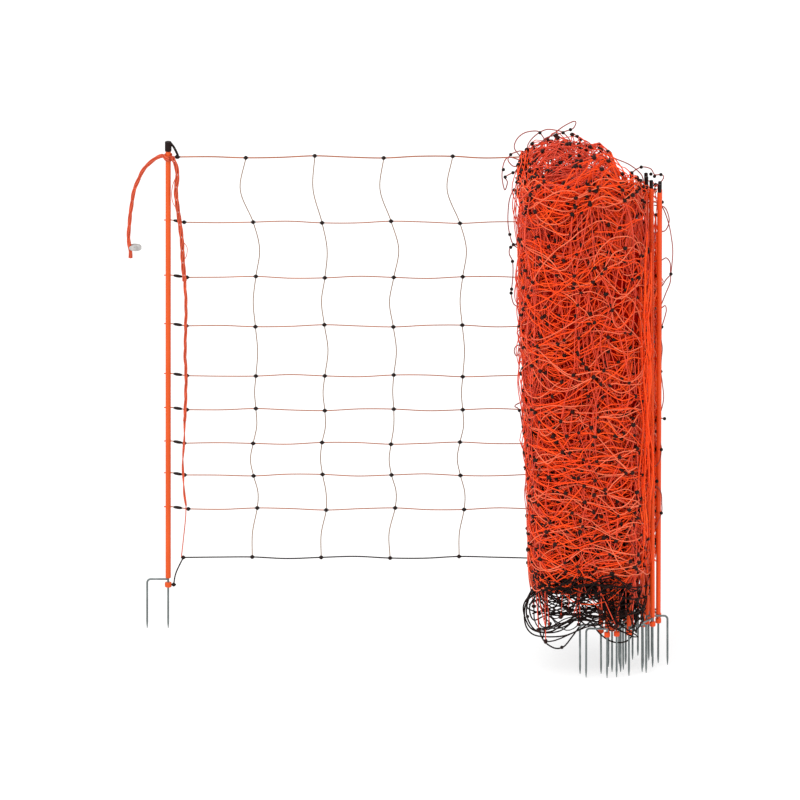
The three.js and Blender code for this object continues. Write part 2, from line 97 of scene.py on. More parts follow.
def group_socket(tree: bpy.types.NodeTree, name: str, kind: str, way: str, value: object = None) -> None:
    """Adds one socket to a shader node group.

    Args:
        tree: The group.
        name: The socket's name.
        kind: Float, Color or Vector.
        way: INPUT or OUTPUT.
        value: The default of an input.
    """
    socket = tree.interface.new_socket(name=name, in_out=way, socket_type="NodeSocket" + kind)
    if value is not None:
        socket.default_value = value


def new_node(tree: bpy.types.NodeTree, kind: str, **settings: object) -> bpy.types.Node:
    """Adds a node and sets its properties.

    Args:
        tree: The node tree.
        kind: The node's type name.
        settings: Property values by name.

    Returns:
        The new node.
    """
    node = tree.nodes.new(kind)
    for name, value in settings.items():
        setattr(node, name, value)
    return node


def build_mottle_group() -> bpy.types.NodeTree:
    """Returns the group that mixes two colours by soft patches and fine grain."""
    tree = bpy.data.node_groups.new("mottle", "ShaderNodeTree")
    group_socket(tree, "Light", "Color", "INPUT", (0.8, 0.8, 0.8, 1.0))
    group_socket(tree, "Dark", "Color", "INPUT", (0.2, 0.2, 0.2, 1.0))
    group_socket(tree, "Patch Scale", "Float", "INPUT", 20.0)
    group_socket(tree, "Grain Scale", "Float", "INPUT", 900.0)
    group_socket(tree, "Grain", "Float", "INPUT", 0.3)
    group_socket(tree, "Colour", "Color", "OUTPUT")
    group_socket(tree, "Height", "Float", "OUTPUT")
    put = tree.nodes.new("NodeGroupInput")
    out = tree.nodes.new("NodeGroupOutput")
    place = new_node(tree, "ShaderNodeTexCoord")
    patch = new_node(tree, "ShaderNodeTexNoise")
    grain = new_node(tree, "ShaderNodeTexNoise")
    blend = new_node(tree, "ShaderNodeMath", operation="MULTIPLY_ADD")
    contrast = new_node(tree, "ShaderNodeMapRange")
    mix = new_node(tree, "ShaderNodeMix", data_type="RGBA")
    patch.inputs["Detail"].default_value = 3.0
    grain.inputs["Detail"].default_value = 2.0
    contrast.inputs["From Min"].default_value = 0.35
    contrast.inputs["From Max"].default_value = 0.75
    tree.links.new(place.outputs["Object"], patch.inputs["Vector"])
    tree.links.new(place.outputs["Object"], grain.inputs["Vector"])
    tree.links.new(put.outputs["Patch Scale"], patch.inputs["Scale"])
    tree.links.new(put.outputs["Grain Scale"], grain.inputs["Scale"])
    tree.links.new(grain.outputs["Fac"], blend.inputs[0])
    tree.links.new(put.outputs["Grain"], blend.inputs[1])
    tree.links.new(patch.outputs["Fac"], blend.inputs[2])
    tree.links.new(blend.outputs[0], contrast.inputs["Value"])
    tree.links.new(contrast.outputs["Result"], mix.inputs["Factor"])
    tree.links.new(put.outputs["Light"], mix.inputs["A"])
    tree.links.new(put.outputs["Dark"], mix.inputs["B"])
    tree.links.new(mix.outputs["Result"], out.inputs["Colour"])
    tree.links.new(grain.outputs["Fac"], out.inputs["Height"])
    return tree


@dataclass(frozen=True)
class Finish:
    """One surface finish and the shader that shows it."""

    name: str
    light: tuple[float, float, float]
    dark: tuple[float, float, float]
    roughness: float
    metallic: float = 0.0
    specular: float = 0.5
    pattern: Pattern = Pattern.MOULDED
    patch_scale: float = 20.0
    grain_scale: float = 900.0
    grain: float = 0.3
    bump: float = 0.1

    def material(self, mottle: bpy.types.NodeTree) -> bpy.types.Material:
        """Builds the finish's material.

        Args:
            mottle: The shared colour group.

        Returns:
            The new material.
        """
        material = bpy.data.materials.new(self.name)
        material.use_nodes = True
        tree = material.node_tree
        shader = tree.nodes["Principled BSDF"]
        shader.inputs["Roughness"].default_value = self.roughness
        shader.inputs["Metallic"].default_value = self.metallic
        shader.inputs["Specular IOR Level"].default_value = self.specular
        colour = new_node(tree, "ShaderNodeGroup", node_tree=mottle)
        colour.inputs["Light"].default_value = (*self.light, 1.0)
        colour.inputs["Dark"].default_value = (*self.dark, 1.0)
        colour.inputs["Patch Scale"].default_value = self.patch_scale
        colour.inputs["Grain Scale"].default_value = self.grain_scale
        colour.inputs["Grain"].default_value = self.grain
        tree.links.new(colour.outputs["Colour"], shader.inputs["Base Color"])
        bump = new_node(tree, "ShaderNodeBump")
        bump.inputs["Strength"].default_value = self.bump
        bump.inputs["Distance"].default_value = 0.0004
        tree.links.new(self._height(tree, colour), bump.inputs["Height"])
        tree.links.new(bump.outputs["Normal"], shader.inputs["Normal"])
        return material

    def _height(self, tree: bpy.types.NodeTree, colour: bpy.types.Node) -> bpy.types.NodeSocket:
        """Returns the socket that holds the finish's fine relief."""
        if self.pattern is not Pattern.TWISTED:
            return colour.outputs["Height"]
        place = new_node(tree, "ShaderNodeTexCoord")
        twist = new_node(tree, "ShaderNodeTexWave", bands_direction="DIAGONAL")
        twist.inputs["Scale"].default_value = TWIST_SCALE
        twist.inputs["Distortion"].default_value = 1.5
        tree.links.new(place.outputs["Object"], twist.inputs["Vector"])
        return twist.outputs["Fac"]


# Wave texture scale that puts the twine's turns a few millimetres apart
TWIST_SCALE = 110.0

FINISHES = {
    Role.ORANGE_PLASTIC: Finish(
        name="orange_post_plastic",
        light=(0.70, 0.096, 0.013),
        dark=(0.62, 0.076, 0.008),
        roughness=0.42,
        specular=0.25,
        patch_scale=7.0,
        grain_scale=1400.0,
        bump=0.12,
    ),
    Role.BLACK_PLASTIC: Finish(
        name="black_moulded_plastic",
        light=(0.006, 0.0025, 0.0020),
        dark=(0.013, 0.0055, 0.0045),
        roughness=0.5,
        specular=0.14,
        patch_scale=160.0,
        grain_scale=2200.0,
        bump=0.15,
    ),
    Role.STEEL: Finish(
        name="galvanised_rod_steel",
        light=(0.31, 0.345, 0.34),
        dark=(0.15, 0.17, 0.17),
        roughness=0.42,
        metallic=0.85,
        pattern=Pattern.ZINC,
        patch_scale=45.0,
        grain_scale=700.0,
        grain=0.5,
        bump=0.2,
    ),
    Role.ORANGE_TWINE: Finish(
        name="orange_live_twine",
        light=(1.0, 0.118, 0.012),
        dark=(0.90, 0.066, 0.008),
        roughness=0.55,
        specular=0.15,
        pattern=Pattern.TWISTED,
        patch_scale=16.0,
        grain_scale=420.0,
        grain=0.45,
        bump=0.5,
    ),
    Role.BLACK_TWINE: Finish(
        name="black_ground_twine",
        light=(0.0055, 0.0022, 0.0018),
        dark=(0.013, 0.0065, 0.0058),
        roughness=0.5,
        specular=0.07,
        pattern=Pattern.TWISTED,
        patch_scale=30.0,
        grain_scale=500.0,
        bump=0.4,
    ),
}

CORE_FINISH = Finish(
    name="folds_in_shadow",
    light=(0.95, 0.010, 0.0006),
    dark=(0.34, 0.003, 0.0003),
    roughness=0.9,
    specular=0.0,
    patch_scale=110.0,
    grain_scale=420.0,
    grain=0.8,
    bump=0.6,
)

UPRIGHT_FINISH = Finish(
    name="orange_upright_twine",
    light=(0.94, 0.088, 0.030),
    dark=(0.66, 0.052, 0.020),
    roughness=0.5,
    specular=0.3,
    pattern=Pattern.TWISTED,
    patch_scale=22.0,
    grain_scale=500.0,
    grain=0.4,
    bump=0.35,
)

# Painted highlight: a lighter, pinker copy of the orange twine for the outermost strands of the bundle, where the light
# falls on them.
FRONT_HIGHLIGHT_FINISH = Finish(
    name="pink_outer_twine_painted_highlight",
    light=(0.94, 0.215, 0.105),
    dark=(0.78, 0.125, 0.052),
    roughness=0.5,
    specular=0.25,
    pattern=Pattern.TWISTED,
    patch_scale=18.0,
    grain_scale=450.0,
    grain=0.4,
    bump=0.4,
)

LOOP_FINISH = Finish(
    name="dull_loose_twine",
    light=(0.46, 0.085, 0.060),
    dark=(0.30, 0.052, 0.040),
    roughness=0.5,
    specular=0.2,
    pattern=Pattern.TWISTED,
    patch_scale=22.0,
    grain_scale=500.0,
    grain=0.4,
    bump=0.35,
)

PANEL_ROW_FINISH = Finish(
    name="orange_spread_twine",
    light=(0.45, 0.130, 0.045),
    dark=(0.33, 0.095, 0.034),
    roughness=0.5,
    specular=0.2,
    pattern=Pattern.TWISTED,
    patch_scale=18.0,
    grain_scale=500.0,
    grain=0.4,
    bump=0.3,
)

PANEL_UPRIGHT_FINISH = Finish(
    name="brown_spread_uprights",
    light=(0.28, 0.140, 0.055),
    dark=(0.20, 0.100, 0.042),
    roughness=0.5,
    specular=0.2,
    pattern=Pattern.TWISTED,
    patch_scale=22.0,
    grain_scale=500.0,
    grain=0.4,
    bump=0.3,
)

LEAD_FINISH = Finish(
    name="pink_orange_lead",
    light=(0.76, 0.112, 0.040),
    dark=(0.52, 0.070, 0.028),
    roughness=0.5,
    specular=0.25,
    pattern=Pattern.TWISTED,
    patch_scale=60.0,
    grain_scale=420.0,
    grain=0.4,
    bump=0.4,
)

CLAMP_FINISH = Finish(
    name="bright_clamp_steel",
    light=(0.66, 0.64, 0.62),
    dark=(0.42, 0.41, 0.40),
    roughness=0.4,
    metallic=0.55,
    pattern=Pattern.ZINC,
    patch_scale=90.0,
    grain_scale=900.0,
    grain=0.4,
    bump=0.15,
)

DARK_CORE_FINISH = Finish(
    name="black_folds_in_shadow",
    light=(0.060, 0.007, 0.004),
    dark=(0.006, 0.002, 0.002),
    roughness=0.8,
    specular=0.05,
    patch_scale=110.0,
    grain_scale=420.0,
    grain=0.8,
    bump=0.6,
)

BUNDLE_KNOT_FINISH = Finish(
    name="brown_black_knots",
    light=(0.034, 0.0055, 0.0035),
    dark=(0.012, 0.0040, 0.0030),
    roughness=0.5,
    specular=0.12,
    patch_scale=12.0,
    grain_scale=2200.0,
    bump=0.15,
)

# Painted reflection: the same orange plastic as the end post, made redder to stand in for the red light that the folded
# net throws onto the posts inside the bundle.
BUNDLED_POST_BOUNCE_FINISH = Finish(
    name="orange_plastic_painted_net_bounce",
    light=(0.84, 0.085, 0.008),
    dark=(0.72, 0.062, 0.005),
    roughness=0.42,
    specular=0.25,
    patch_scale=7.0,
    grain_scale=1400.0,
    bump=0.12,
)

# Finishes that differ from their slot's own, by key
SPECIAL_FINISHES = {
    "bundled_post": BUNDLED_POST_BOUNCE_FINISH,
    "upright": UPRIGHT_FINISH,
    "front": FRONT_HIGHLIGHT_FINISH,
    "loop": LOOP_FINISH,
    "bundle_knot": BUNDLE_KNOT_FINISH,
    "core": CORE_FINISH,
    "dark_core": DARK_CORE_FINISH,
    "panel_row": PANEL_ROW_FINISH,
    "panel_upright": PANEL_UPRIGHT_FINISH,
    "lead": LEAD_FINISH,
    "clamp": CLAMP_FINISH,
}


@dataclass
class Workshop:
    """Shared materials and the making of pieces from bmesh shapes and lines."""

    origin: Vector
    materials: dict[str, bpy.types.Material] = field(default_factory=dict)

    def prepare(self) -> None:
        """Builds each finish once."""
        mottle = build_mottle_group()
        for role, finish in FINISHES.items():
            self.materials[role.value] = finish.material(mottle)
        for key, finish in SPECIAL_FINISHES.items():
            self.materials[key] = finish.material(mottle)

    def finish_piece(
        self,
        mesh: bpy.types.Mesh,
        name: str,
        role: Role,
        replaced: Sequence[str] = (),
        material: str = "",
    ) -> bpy.types.Object:
        """Makes a mesh one piece of the object.

        Args:
            mesh: The piece's mesh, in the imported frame.
            name: The piece's name.
            role: The record's material slot.
            replaced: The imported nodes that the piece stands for.
            material: Another material's key than the slot's own.

        Returns:
            The new object.
        """
        mesh.name = name
        mesh.materials.clear()
        mesh.materials.append(self.materials[material or role.value])
        piece = bpy.data.objects.new(name, mesh)
        bpy.context.scene.collection.objects.link(piece)
        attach(piece, "root")
        if replaced:
            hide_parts(*replaced)
        LOG.info("%s: %d faces", name, len(mesh.polygons))
        return piece

    def mesh_of(self, shape: bmesh.types.BMesh, place: Matrix | None = None) -> bpy.types.Mesh:
        """Turns a finished bmesh into a smooth mesh.

        Args:
            shape: The bmesh, which is freed.
            place: Where it stands in net coordinates.

        Returns:
            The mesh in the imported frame.
        """
        if place is not None:
            bmesh.ops.transform(shape, matrix=place, verts=shape.verts)
        bmesh.ops.translate(shape, vec=self.origin, verts=shape.verts)
        bmesh.ops.recalc_face_normals(shape, faces=shape.faces)
        mesh = bpy.data.meshes.new("shape")
        shape.to_mesh(mesh)
        shape.free()
        mesh.shade_smooth()
        mesh.set_sharp_from_angle(angle=math.radians(38))
        return mesh

    def lines_mesh(
        self,
        lines: Iterable[np.ndarray],
        diameter: float,
        roundness: int = 0,
        radii: Sequence[Sequence[float]] | None = None,
        closed: bool = False,
    ) -> bpy.types.Mesh:
        """Makes round bars along lines of points.

        Args:
            lines: Arrays of points in net coordinates.
            diameter: The bars' diameter.
            roundness: 0 gives four sides, and each step two more.
            radii: Factors of the radius at each point of each line.
            closed: Whether the lines are rings.

        Returns:
            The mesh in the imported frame.
        """
        curve = bpy.data.curves.new("lines", "CURVE")
        curve.dimensions = "3D"
        curve.bevel_depth = diameter / 2
        curve.bevel_resolution = roundness
        curve.use_fill_caps = True
        offset = np.array(self.origin)
        for index, line in enumerate(lines):
            spline = curve.splines.new("POLY")
            spline.points.add(len(line) - 1)
            coords = np.ones((len(line), 4))
            coords[:, :3] = np.asarray(line) + offset
            spline.points.foreach_set("co", coords.ravel())
            if radii is not None:
                spline.points.foreach_set("radius", list(radii[index]))
            spline.use_cyclic_u = closed
        holder = bpy.data.objects.new("lines", curve)
        bpy.context.scene.collection.objects.link(holder)
        graph = bpy.context.evaluated_depsgraph_get()
        mesh = bpy.data.meshes.new_from_object(holder.evaluated_get(graph))
        bpy.data.objects.remove(holder)
        bpy.data.curves.remove(curve)
        mesh.shade_smooth()
        return mesh

    def scattered_mesh(
        self,
        bead: bmesh.types.BMesh,
        centres: np.ndarray,
        turns: np.ndarray,
        sizes: np.ndarray,
    ) -> bpy.types.Mesh:
        """Repeats a small shape at many places as one mesh.

        Args:
            bead: The shape, which is freed.
            centres: The places in net coordinates.
            turns: One 3 by 3 rotation for each place.
            sizes: One scale for each place.

        Returns:
            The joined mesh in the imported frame.
        """
        bmesh.ops.triangulate(bead, faces=bead.faces)
        bead.verts.index_update()
        corners = np.array([vertex.co for vertex in bead.verts])
        faces = np.array([[vertex.index for vertex in face.verts] for face in bead.faces])
        bead.free()
        turned = np.einsum("nij,vj->nvi", turns, corners) * sizes[:, None, None]
        points = (turned + centres[:, None, :] + np.array(self.origin)).reshape(-1, 3)
        steps = np.arange(len(centres))[:, None, None] * len(corners)
        indices = (faces[None] + steps).reshape(-1, 3)
        mesh = bpy.data.meshes.new("scattered")
        mesh.from_pydata(points, [], indices)
        mesh.shade_smooth()
        return mesh


# Smooth lines


def smooth_line(points: Sequence[Sequence[float]], spacing: float) -> np.ndarray:
    """Samples a smooth curve through points.

    Args:
        points: The points that it passes through.
        spacing: The distance between samples.

    Returns:
        The samples, one row for each.
    """
    given = np.asarray(points, float)
    padded = np.vstack([2 * given[0] - given[1], given, 2 * given[-1] - given[-2]])
    samples = []
    for before, start, end, after in zip(padded, padded[1:], padded[2:], padded[3:]):
        count = max(2, int(np.linalg.norm(end - start) / spacing))
        t = np.linspace(0, 1, count, endpoint=False)[:, None]
        bend = 2 * before - 5 * start + 4 * end - after
        swing = -before + 3 * start - 3 * end + after
        samples.append(start + 0.5 * t * ((end - before) + t * (bend + t * swing)))
    samples.append(given[-1:])
    return np.vstack(samples)


def wander(rng: np.random.Generator, count: int, step: float) -> np.ndarray:
    """Returns smooth random values around zero, with one free value every step samples.

    Args:
        rng: The random source.
        count: How many samples.
        step: Samples between free values.

    Returns:
        The values.
    """
    free = int(count / step) + 4
    values = np.clip(rng.normal(size=free), -1.7, 1.7)
    at = np.arange(count) / step
    index = at.astype(int)
    t = at - index
    before, start, end, after = (values[index + k] for k in range(4))
    bend = 2 * before - 5 * start + 4 * end - after
    swing = -before + 3 * start - 3 * end + after
    return start + 0.5 * t * ((end - before) + t * (bend + t * swing))


def smooth_step(value: np.ndarray | float, low: float, high: float) -> np.ndarray:
    """Returns 0 below low, 1 above high and a smooth rise between."""
    t = np.clip((np.asarray(value, float) - low) / (high - low), 0.0, 1.0)
    return t * t * (3 - 2 * t)


def twisted_strands(centre: np.ndarray, count: int, spread: float, pitch: float, phase: float = 0.0) -> list[np.ndarray]:
    """Lays strands in a helix round a centre line.

    Args:
        centre: The centre line's points.
        count: How many strands.
        spread: Radius of the helix.
        pitch: Length of one turn.
        phase: Turn of the first strand.

    Returns:
        One line of points for each strand.
    """
    tangent = np.gradient(centre, axis=0)
    tangent /= np.linalg.norm(tangent, axis=1)[:, None]
    side = np.cross(tangent, (0.0, 1.0, 0.0))
    side /= np.linalg.norm(side, axis=1)[:, None]
    other = np.cross(tangent, side)
    steps = np.linalg.norm(np.diff(centre, axis=0), axis=1)
    along = np.concatenate([[0.0], np.cumsum(steps)])
    lines = []
    for index in range(count):
        angle = phase + 2 * math.pi * (along / pitch + index / count)
        lines.append(centre + spread * (np.cos(angle)[:, None] * side + np.sin(angle)[:, None] * other))
    return lines


@dataclass
class NetPattern:
    """The net's rows and uprights, in net coordinates."""

    row_heights: tuple[float, ...] = tuple(
        height * MM for height in (1068, 920, 795, 685, 572, 495, 419, 347, 270, 160)
    )
    row_shifts: tuple[float, ...] = tuple(shift * MM for shift in (-22, -6, 0, -1, 0, 0, -6, -5, 3, -8))
    mesh_width: float = 0.151
    first_column: float = 0.041
    column_count: int = 5
    strand: float = 0.0026
    upright: float = 0.0022
    ground_strand: float = 0.0030
    hole_rise: float = 0.005

    @property
    def last_row(self) -> int:
        """Index of the black lowest row."""
        return len(self.row_heights) - 1

    def row_z(self, row: int, x: float) -> float:
        """Returns a row's height at a distance from the end post."""
        settled = float(smooth_step(x, self.first_column, self.first_column + self.mesh_width))
        return self.row_heights[row] + settled * 0.0025 * math.sin(2 * math.pi * x / 0.26 + 1.9 * row)

    def knot(self, row: int, column: int) -> Vector:
        """Returns the middle of a knot."""
        x = self.first_column + column * self.mesh_width + self.row_shifts[row]
        return Vector((x, 0.0, self.row_z(row, x)))


@dataclass
class SpreadNet:
    """The stretch of net between the end post and the bundle."""

    shop: Workshop
    pattern: NetPattern
    strand_end: float = 0.815
    top_strand: float = 0.0030
    live_strand: float = 0.0024
    thin_upright: float = 0.0020
    knot_d: float = 0.0090
    spacing: float = 0.006
    bows: tuple[float, ...] = tuple(bow * MM for bow in (-16, 11, -7, 6, -3, 4, -5, 5, -6))

    def row_line(self, row: int) -> np.ndarray:
        """Returns a row's line from the first column into the bundle."""
        points = []
        for column in range(self.pattern.column_count):
            knot = self.pattern.knot(row, column)
            middle = knot.x + self.pattern.mesh_width / 2
            points.append(tuple(knot))
            points.append((middle, 0.0, self.pattern.row_z(row, middle)))
        points.append((self.strand_end, 0.0, self.pattern.row_z(row, self.strand_end)))
        return smooth_line(points, self.spacing)

    def upright_line(self, column: int) -> np.ndarray:
        """Returns an upright's line from the top row to the lowest."""
        points = []
        for row in range(self.pattern.last_row):
            upper = self.pattern.knot(row, column)
            lower = self.pattern.knot(row + 1, column)
            bow = self.bows[row] * (1 + 0.3 * math.sin(2.1 * column + row))
            points.append(tuple(upper))
            points.append(((upper.x + lower.x) / 2 + bow, 0.0, (upper.z + lower.z) / 2))
        points.append(tuple(self.pattern.knot(self.pattern.last_row, column)))
        return smooth_line(points, self.spacing)

    def knot_shape(self) -> bmesh.types.BMesh:
        """Returns a knot: a moulded bead with collars where the strand leaves it."""
        shape = bmesh.new()
        bmesh.ops.create_uvsphere(shape, u_segments=16, v_segments=10, radius=self.knot_d / 2)
        turn = Matrix.Rotation(math.pi / 2, 4, "Y")
        collar = {"cap_ends": True, "segments": 10, "radius1": self.knot_d * 0.2, "radius2": self.knot_d * 0.2}
        bmesh.ops.create_cone(shape, depth=self.knot_d * 1.16, matrix=turn, **collar)
        return shape

    def build(self) -> None:
        """Makes the strands, the uprights and the knots."""
        pattern = self.pattern
        live = [self.row_line(row) for row in range(pattern.last_row)]
        for row in range(1, pattern.last_row):
            hole = pattern.row_heights[row] + pattern.hole_rise
            knot = pattern.knot(row, 0)
            live.append(smooth_line([(-0.0085, 0, hole), (0.008, 0, hole), tuple(knot)], self.spacing))
        hook = (0.021, 0.0, pattern.row_heights[0])
        mesh = self.shop.lines_mesh(live[:1], self.top_strand, roundness=2)
        self.shop.finish_piece(mesh, "net_top_strand", Role.ORANGE_TWINE, ["net_panel"], "panel_row")
        mesh = self.shop.lines_mesh(live[1:], self.live_strand, roundness=2)
        self.shop.finish_piece(mesh, "net_live_strands", Role.ORANGE_TWINE, ["net_panel"], "panel_row")
        uprights = [self.upright_line(column) for column in range(1, pattern.column_count)]
        mesh = self.shop.lines_mesh(uprights, self.thin_upright, roundness=2)
        self.shop.finish_piece(mesh, "net_uprights", Role.ORANGE_TWINE, ["net_panel"], "panel_upright")
        ground = [self.row_line(pattern.last_row)]
        foot = (0.0120, 0.0, 0.0985)
        ground.append(smooth_line([foot, (0.017, 0.0, 0.125), tuple(pattern.knot(pattern.last_row, 0))], self.spacing))
        mesh = self.shop.lines_mesh(ground, pattern.ground_strand, roundness=2)
        self.shop.finish_piece(mesh, "net_ground_strand", Role.BLACK_TWINE, ["net_panel"])
        self._knots(foot, hook)

    def _knots(self, foot: tuple[float, float, float], hook: tuple[float, float, float]) -> None:
        """Makes the knots of the spread net.

        Args:
            foot: The knot at the foot ring.
            hook: The knot at the cap's hook.
        """
        pattern = self.pattern
        centres = [foot, hook]
        for column in range(pattern.column_count):
            centres += [tuple(pattern.knot(row, column)) for row in range(len(pattern.row_heights))]
        places = np.array(centres)
        turns = np.repeat(np.eye(3)[None], len(places), axis=0)
        mesh = self.shop.scattered_mesh(self.knot_shape(), places, turns, np.ones(len(places)))
        self.shop.finish_piece(mesh, "net_knots", Role.BLACK_PLASTIC, ["net_panel"])
        stops = [(-0.0076, 0.0, pattern.row_heights[row] + pattern.hole_rise) for row in range(1, pattern.last_row)]
        turns = np.repeat(np.eye(3)[None], len(stops), axis=0)
        mesh = self.shop.scattered_mesh(self.knot_shape(), np.array(stops), turns, np.full(len(stops), 0.36))
        self.shop.finish_piece(mesh, "net_strand_stops", Role.ORANGE_TWINE, ["net_panel"])


@dataclass
class PostPlace:
    """Where a post stands and how it leans."""

    foot: tuple[float, float]
    turn: float
    lean: tuple[float, float] = (0.0, 0.0)
    height: float = 1.087

    def matrix(self) -> Matrix:
        """Returns the post's place in net coordinates."""
        top = Vector((self.lean[0], self.lean[1], self.height)).normalized()
        leaning = UP.rotation_difference(top)
        turned = Quaternion(UP, math.radians(self.turn))
        place = Matrix.Translation((self.foot[0], self.foot[1], 0.0))
        return place @ (leaning @ turned).to_matrix().to_4x4()


@dataclass
class Post:
    """One post: a plastic shaft, a cap and a bent steel double spike with its foot ring."""

    shop: Workshop
    place: PostPlace
    shaft_d: float = 0.0104
    shaft_top: float = 1.087
    ring_d: float = 0.013
    rod_d: float = 0.0045
    step_height: float = 0.111
    step_reach: float = 0.046
    step_bend: float = 0.008
    ring_top: float = 0.104
    ring_height: float = 0.011
    gap: float = 0.0003

    @property
    def shaft_bottom(self) -> float:
        """Height of the shaft's lower end."""
        return self.step_height + self.rod_d / 2 + self.gap

    def turned(self, profile: Sequence[tuple[float, float]], sides: int = 24) -> bmesh.types.BMesh:
        """Turns a profile of radius and height round the post's axis.

        Args:
            profile: Pairs of radius and height, in order along the outline.
            sides: Faces round the axis.

        Returns:
            The closed shape.
        """
        shape = bmesh.new()
        verts = [shape.verts.new((radius, 0.0, height)) for radius, height in profile]
        for start, end in zip(verts, verts[1:]):
            shape.edges.new((start, end))
        bmesh.ops.spin(
            shape,
            geom=shape.verts[:] + shape.edges[:],
            cent=(0, 0, 0),
            axis=(0, 0, 1),
            angle=2 * math.pi,
            steps=sides,
            use_merge=True,
        )
        bmesh.ops.remove_doubles(shape, verts=shape.verts, dist=1e-6)
        return shape

    def shaft_shape(self) -> bmesh.types.BMesh:
        """Returns the shaft with softened ends."""
        r = self.shaft_d / 2
        soft = r * 0.2
        low, high = self.shaft_bottom, self.shaft_top
        return self.turned([
            (0, low), (r - soft, low), (r, low + soft), (r, (low + high) / 2),
            (r, high - soft), (r - soft, high), (0, high),
        ])

    def ring_shape(self) -> bmesh.types.BMesh:
        """Returns the foot ring: a short tube with rounded edges."""
        inner = self.rod_d / 2 + self.gap
        outer = self.ring_d / 2
        low = self.ring_top - self.ring_height
        soft = 0.0012
        return self.turned([
            (inner, low), (outer - soft, low), (outer, low + soft), (outer, self.ring_top - soft),
            (outer - soft, self.ring_top), (inner, self.ring_top), (inner, low),
        ])

    def spike_lines(self) -> tuple[list[np.ndarray], list[np.ndarray]]:
        """Returns the lines of the two prongs and their radius factors."""
        bend = self.step_bend
        reach, height = self.step_reach, self.step_height
        hub = self.step_height + self.rod_d / 2 + 0.03
        main = np.array([(0, 0, z) for z in (0.0, 0.004, 0.010, 0.016, 0.05, 0.1, hub)])
        side = [(reach, 0, z) for z in (0.0, 0.004, 0.010, 0.016, 0.06, height - bend)]
        for k in range(1, 7):
            angle = k * math.pi / 12
            side.append((reach - bend * (1 - math.cos(angle)), 0, height - bend + bend * math.sin(angle)))
        side.append((0.0, 0, height))
        taper = [0.30, 0.55, 0.85, 1.0]
        radii = [taper + [1.0] * (len(main) - 4), taper + [1.0] * (len(side) - 4)]
        return [main, np.array(side)], radii

    def placed_lines(self, lines: Sequence[np.ndarray]) -> list[np.ndarray]:
        """Returns lines of the post's own frame in net coordinates."""
        matrix = np.array(self.place.matrix())
        return [line @ matrix[:3, :3].T + matrix[:3, 3] for line in lines]

    def build_spike(self, name: str, node: str) -> None:
        """Makes the steel double spike.

        Args:
            name: The piece's name.
            node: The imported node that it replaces.
        """
        lines, radii = self.spike_lines()
        mesh = self.shop.lines_mesh(self.placed_lines(lines), self.rod_d, 3, radii)
        self.shop.finish_piece(mesh, name, Role.STEEL, [node])


@dataclass
class EndPost(Post):
    """The post at the net's end, with a socket cap and a hook for the top strand."""

    shaft_d: float = 0.0118
    shaft_top: float = 1.099
    ring_d: float = 0.015
    cap_d: float = 0.0148
    cap_bottom: float = 1.081
    cap_roof: float = 0.004
    hook_d: float = 0.0055
    hook_reach: float = 0.021
    hook_low: float = 1.0722

    def build(self) -> None:
        """Makes the shaft, the cap, the spike and the foot ring."""
        place = self.place.matrix()
        mesh = self.shop.mesh_of(self.shaft_shape(), place)
        self.shop.finish_piece(mesh, "end_post", Role.ORANGE_PLASTIC, ["end_post_shaft"])
        mesh = self.shop.mesh_of(self.ring_shape(), place)
        self.shop.finish_piece(mesh, "end_post_ring", Role.ORANGE_PLASTIC, ["end_post_foot_ring"])
        self.build_spike("end_post_prongs", "end_post_spike")
        self._cap()

    def _cap(self) -> None:
        """Makes the cap and its hook arm."""
        r = self.cap_d / 2
        bore = self.shaft_d / 2 + self.gap
        roof = self.shaft_top + self.gap
        top = roof + self.cap_roof
        soft = 0.0013
        body = self.turned([
            (0, roof), (bore, roof), (bore, self.cap_bottom), (r - soft / 2, self.cap_bottom),
            (r, self.cap_bottom + soft), (r, top - soft), (r - soft, top), (0, top),
        ])
        mesh = self.shop.mesh_of(body)
        self.shop.finish_piece(mesh, "end_post_cap_body", Role.BLACK_PLASTIC, ["end_post_cap"])
        arm = smooth_line([
            (r - 0.0016, 0, top - self.hook_d * 0.8),
            (self.hook_reach * 0.62, 0, (top + self.hook_low) / 2 + self.hook_d * 0.25),
            (self.hook_reach, 0, self.hook_low),
        ], 0.002)
        mesh = self.shop.lines_mesh([arm], self.hook_d, 3)
        self.shop.finish_piece(mesh, "end_post_hook", Role.BLACK_PLASTIC, ["end_post_cap"])


@dataclass
class BundledPost(Post):
    """A post inside the bundle."""

    number: int = 1
    cap_d: float = 0.0084
    cap_height: float = 0.018

    def build(self) -> None:
        """Makes the shaft with its foot ring, the cap and the spike."""
        tag = f"{self.number:02d}"
        place = self.place.matrix()
        shaft = self.shaft_shape()
        ring = self.ring_shape()
        joined = bpy.data.meshes.new("ring")
        ring.to_mesh(joined)
        ring.free()
        shaft.from_mesh(joined)
        bpy.data.meshes.remove(joined)
        neck_height = self.shaft_bottom - self.ring_top + 0.001
        neck_x = -(self.shaft_d / 2 - 0.0015)
        at = Matrix.Translation((neck_x, 0, (self.shaft_bottom + self.ring_top) / 2))
        size = Matrix.Diagonal((0.0021, 0.003, neck_height, 1.0))
        bmesh.ops.create_cube(shaft, size=1.0, matrix=at @ size)
        node = f"bundled_post_{tag}"
        mesh = self.shop.mesh_of(shaft, place)
        # The bundled_post finish is a painted reflection: the net's red bounce light painted onto the shaft.
        self.shop.finish_piece(mesh, node, Role.ORANGE_PLASTIC, [node + "_shaft"], "bundled_post")
        low = self.shaft_top + self.gap
        r = self.cap_d / 2
        soft = 0.0009
        top = low + self.cap_height
        cap = self.turned([(0, low), (r, low), (r, top - soft), (r - soft, top), (0, top)], 16)
        mesh = self.shop.mesh_of(cap, place)
        self.shop.finish_piece(mesh, node + "_top", Role.BLACK_PLASTIC, [node + "_cap"])
        self.build_spike(node + "_prongs", node + "_spike")


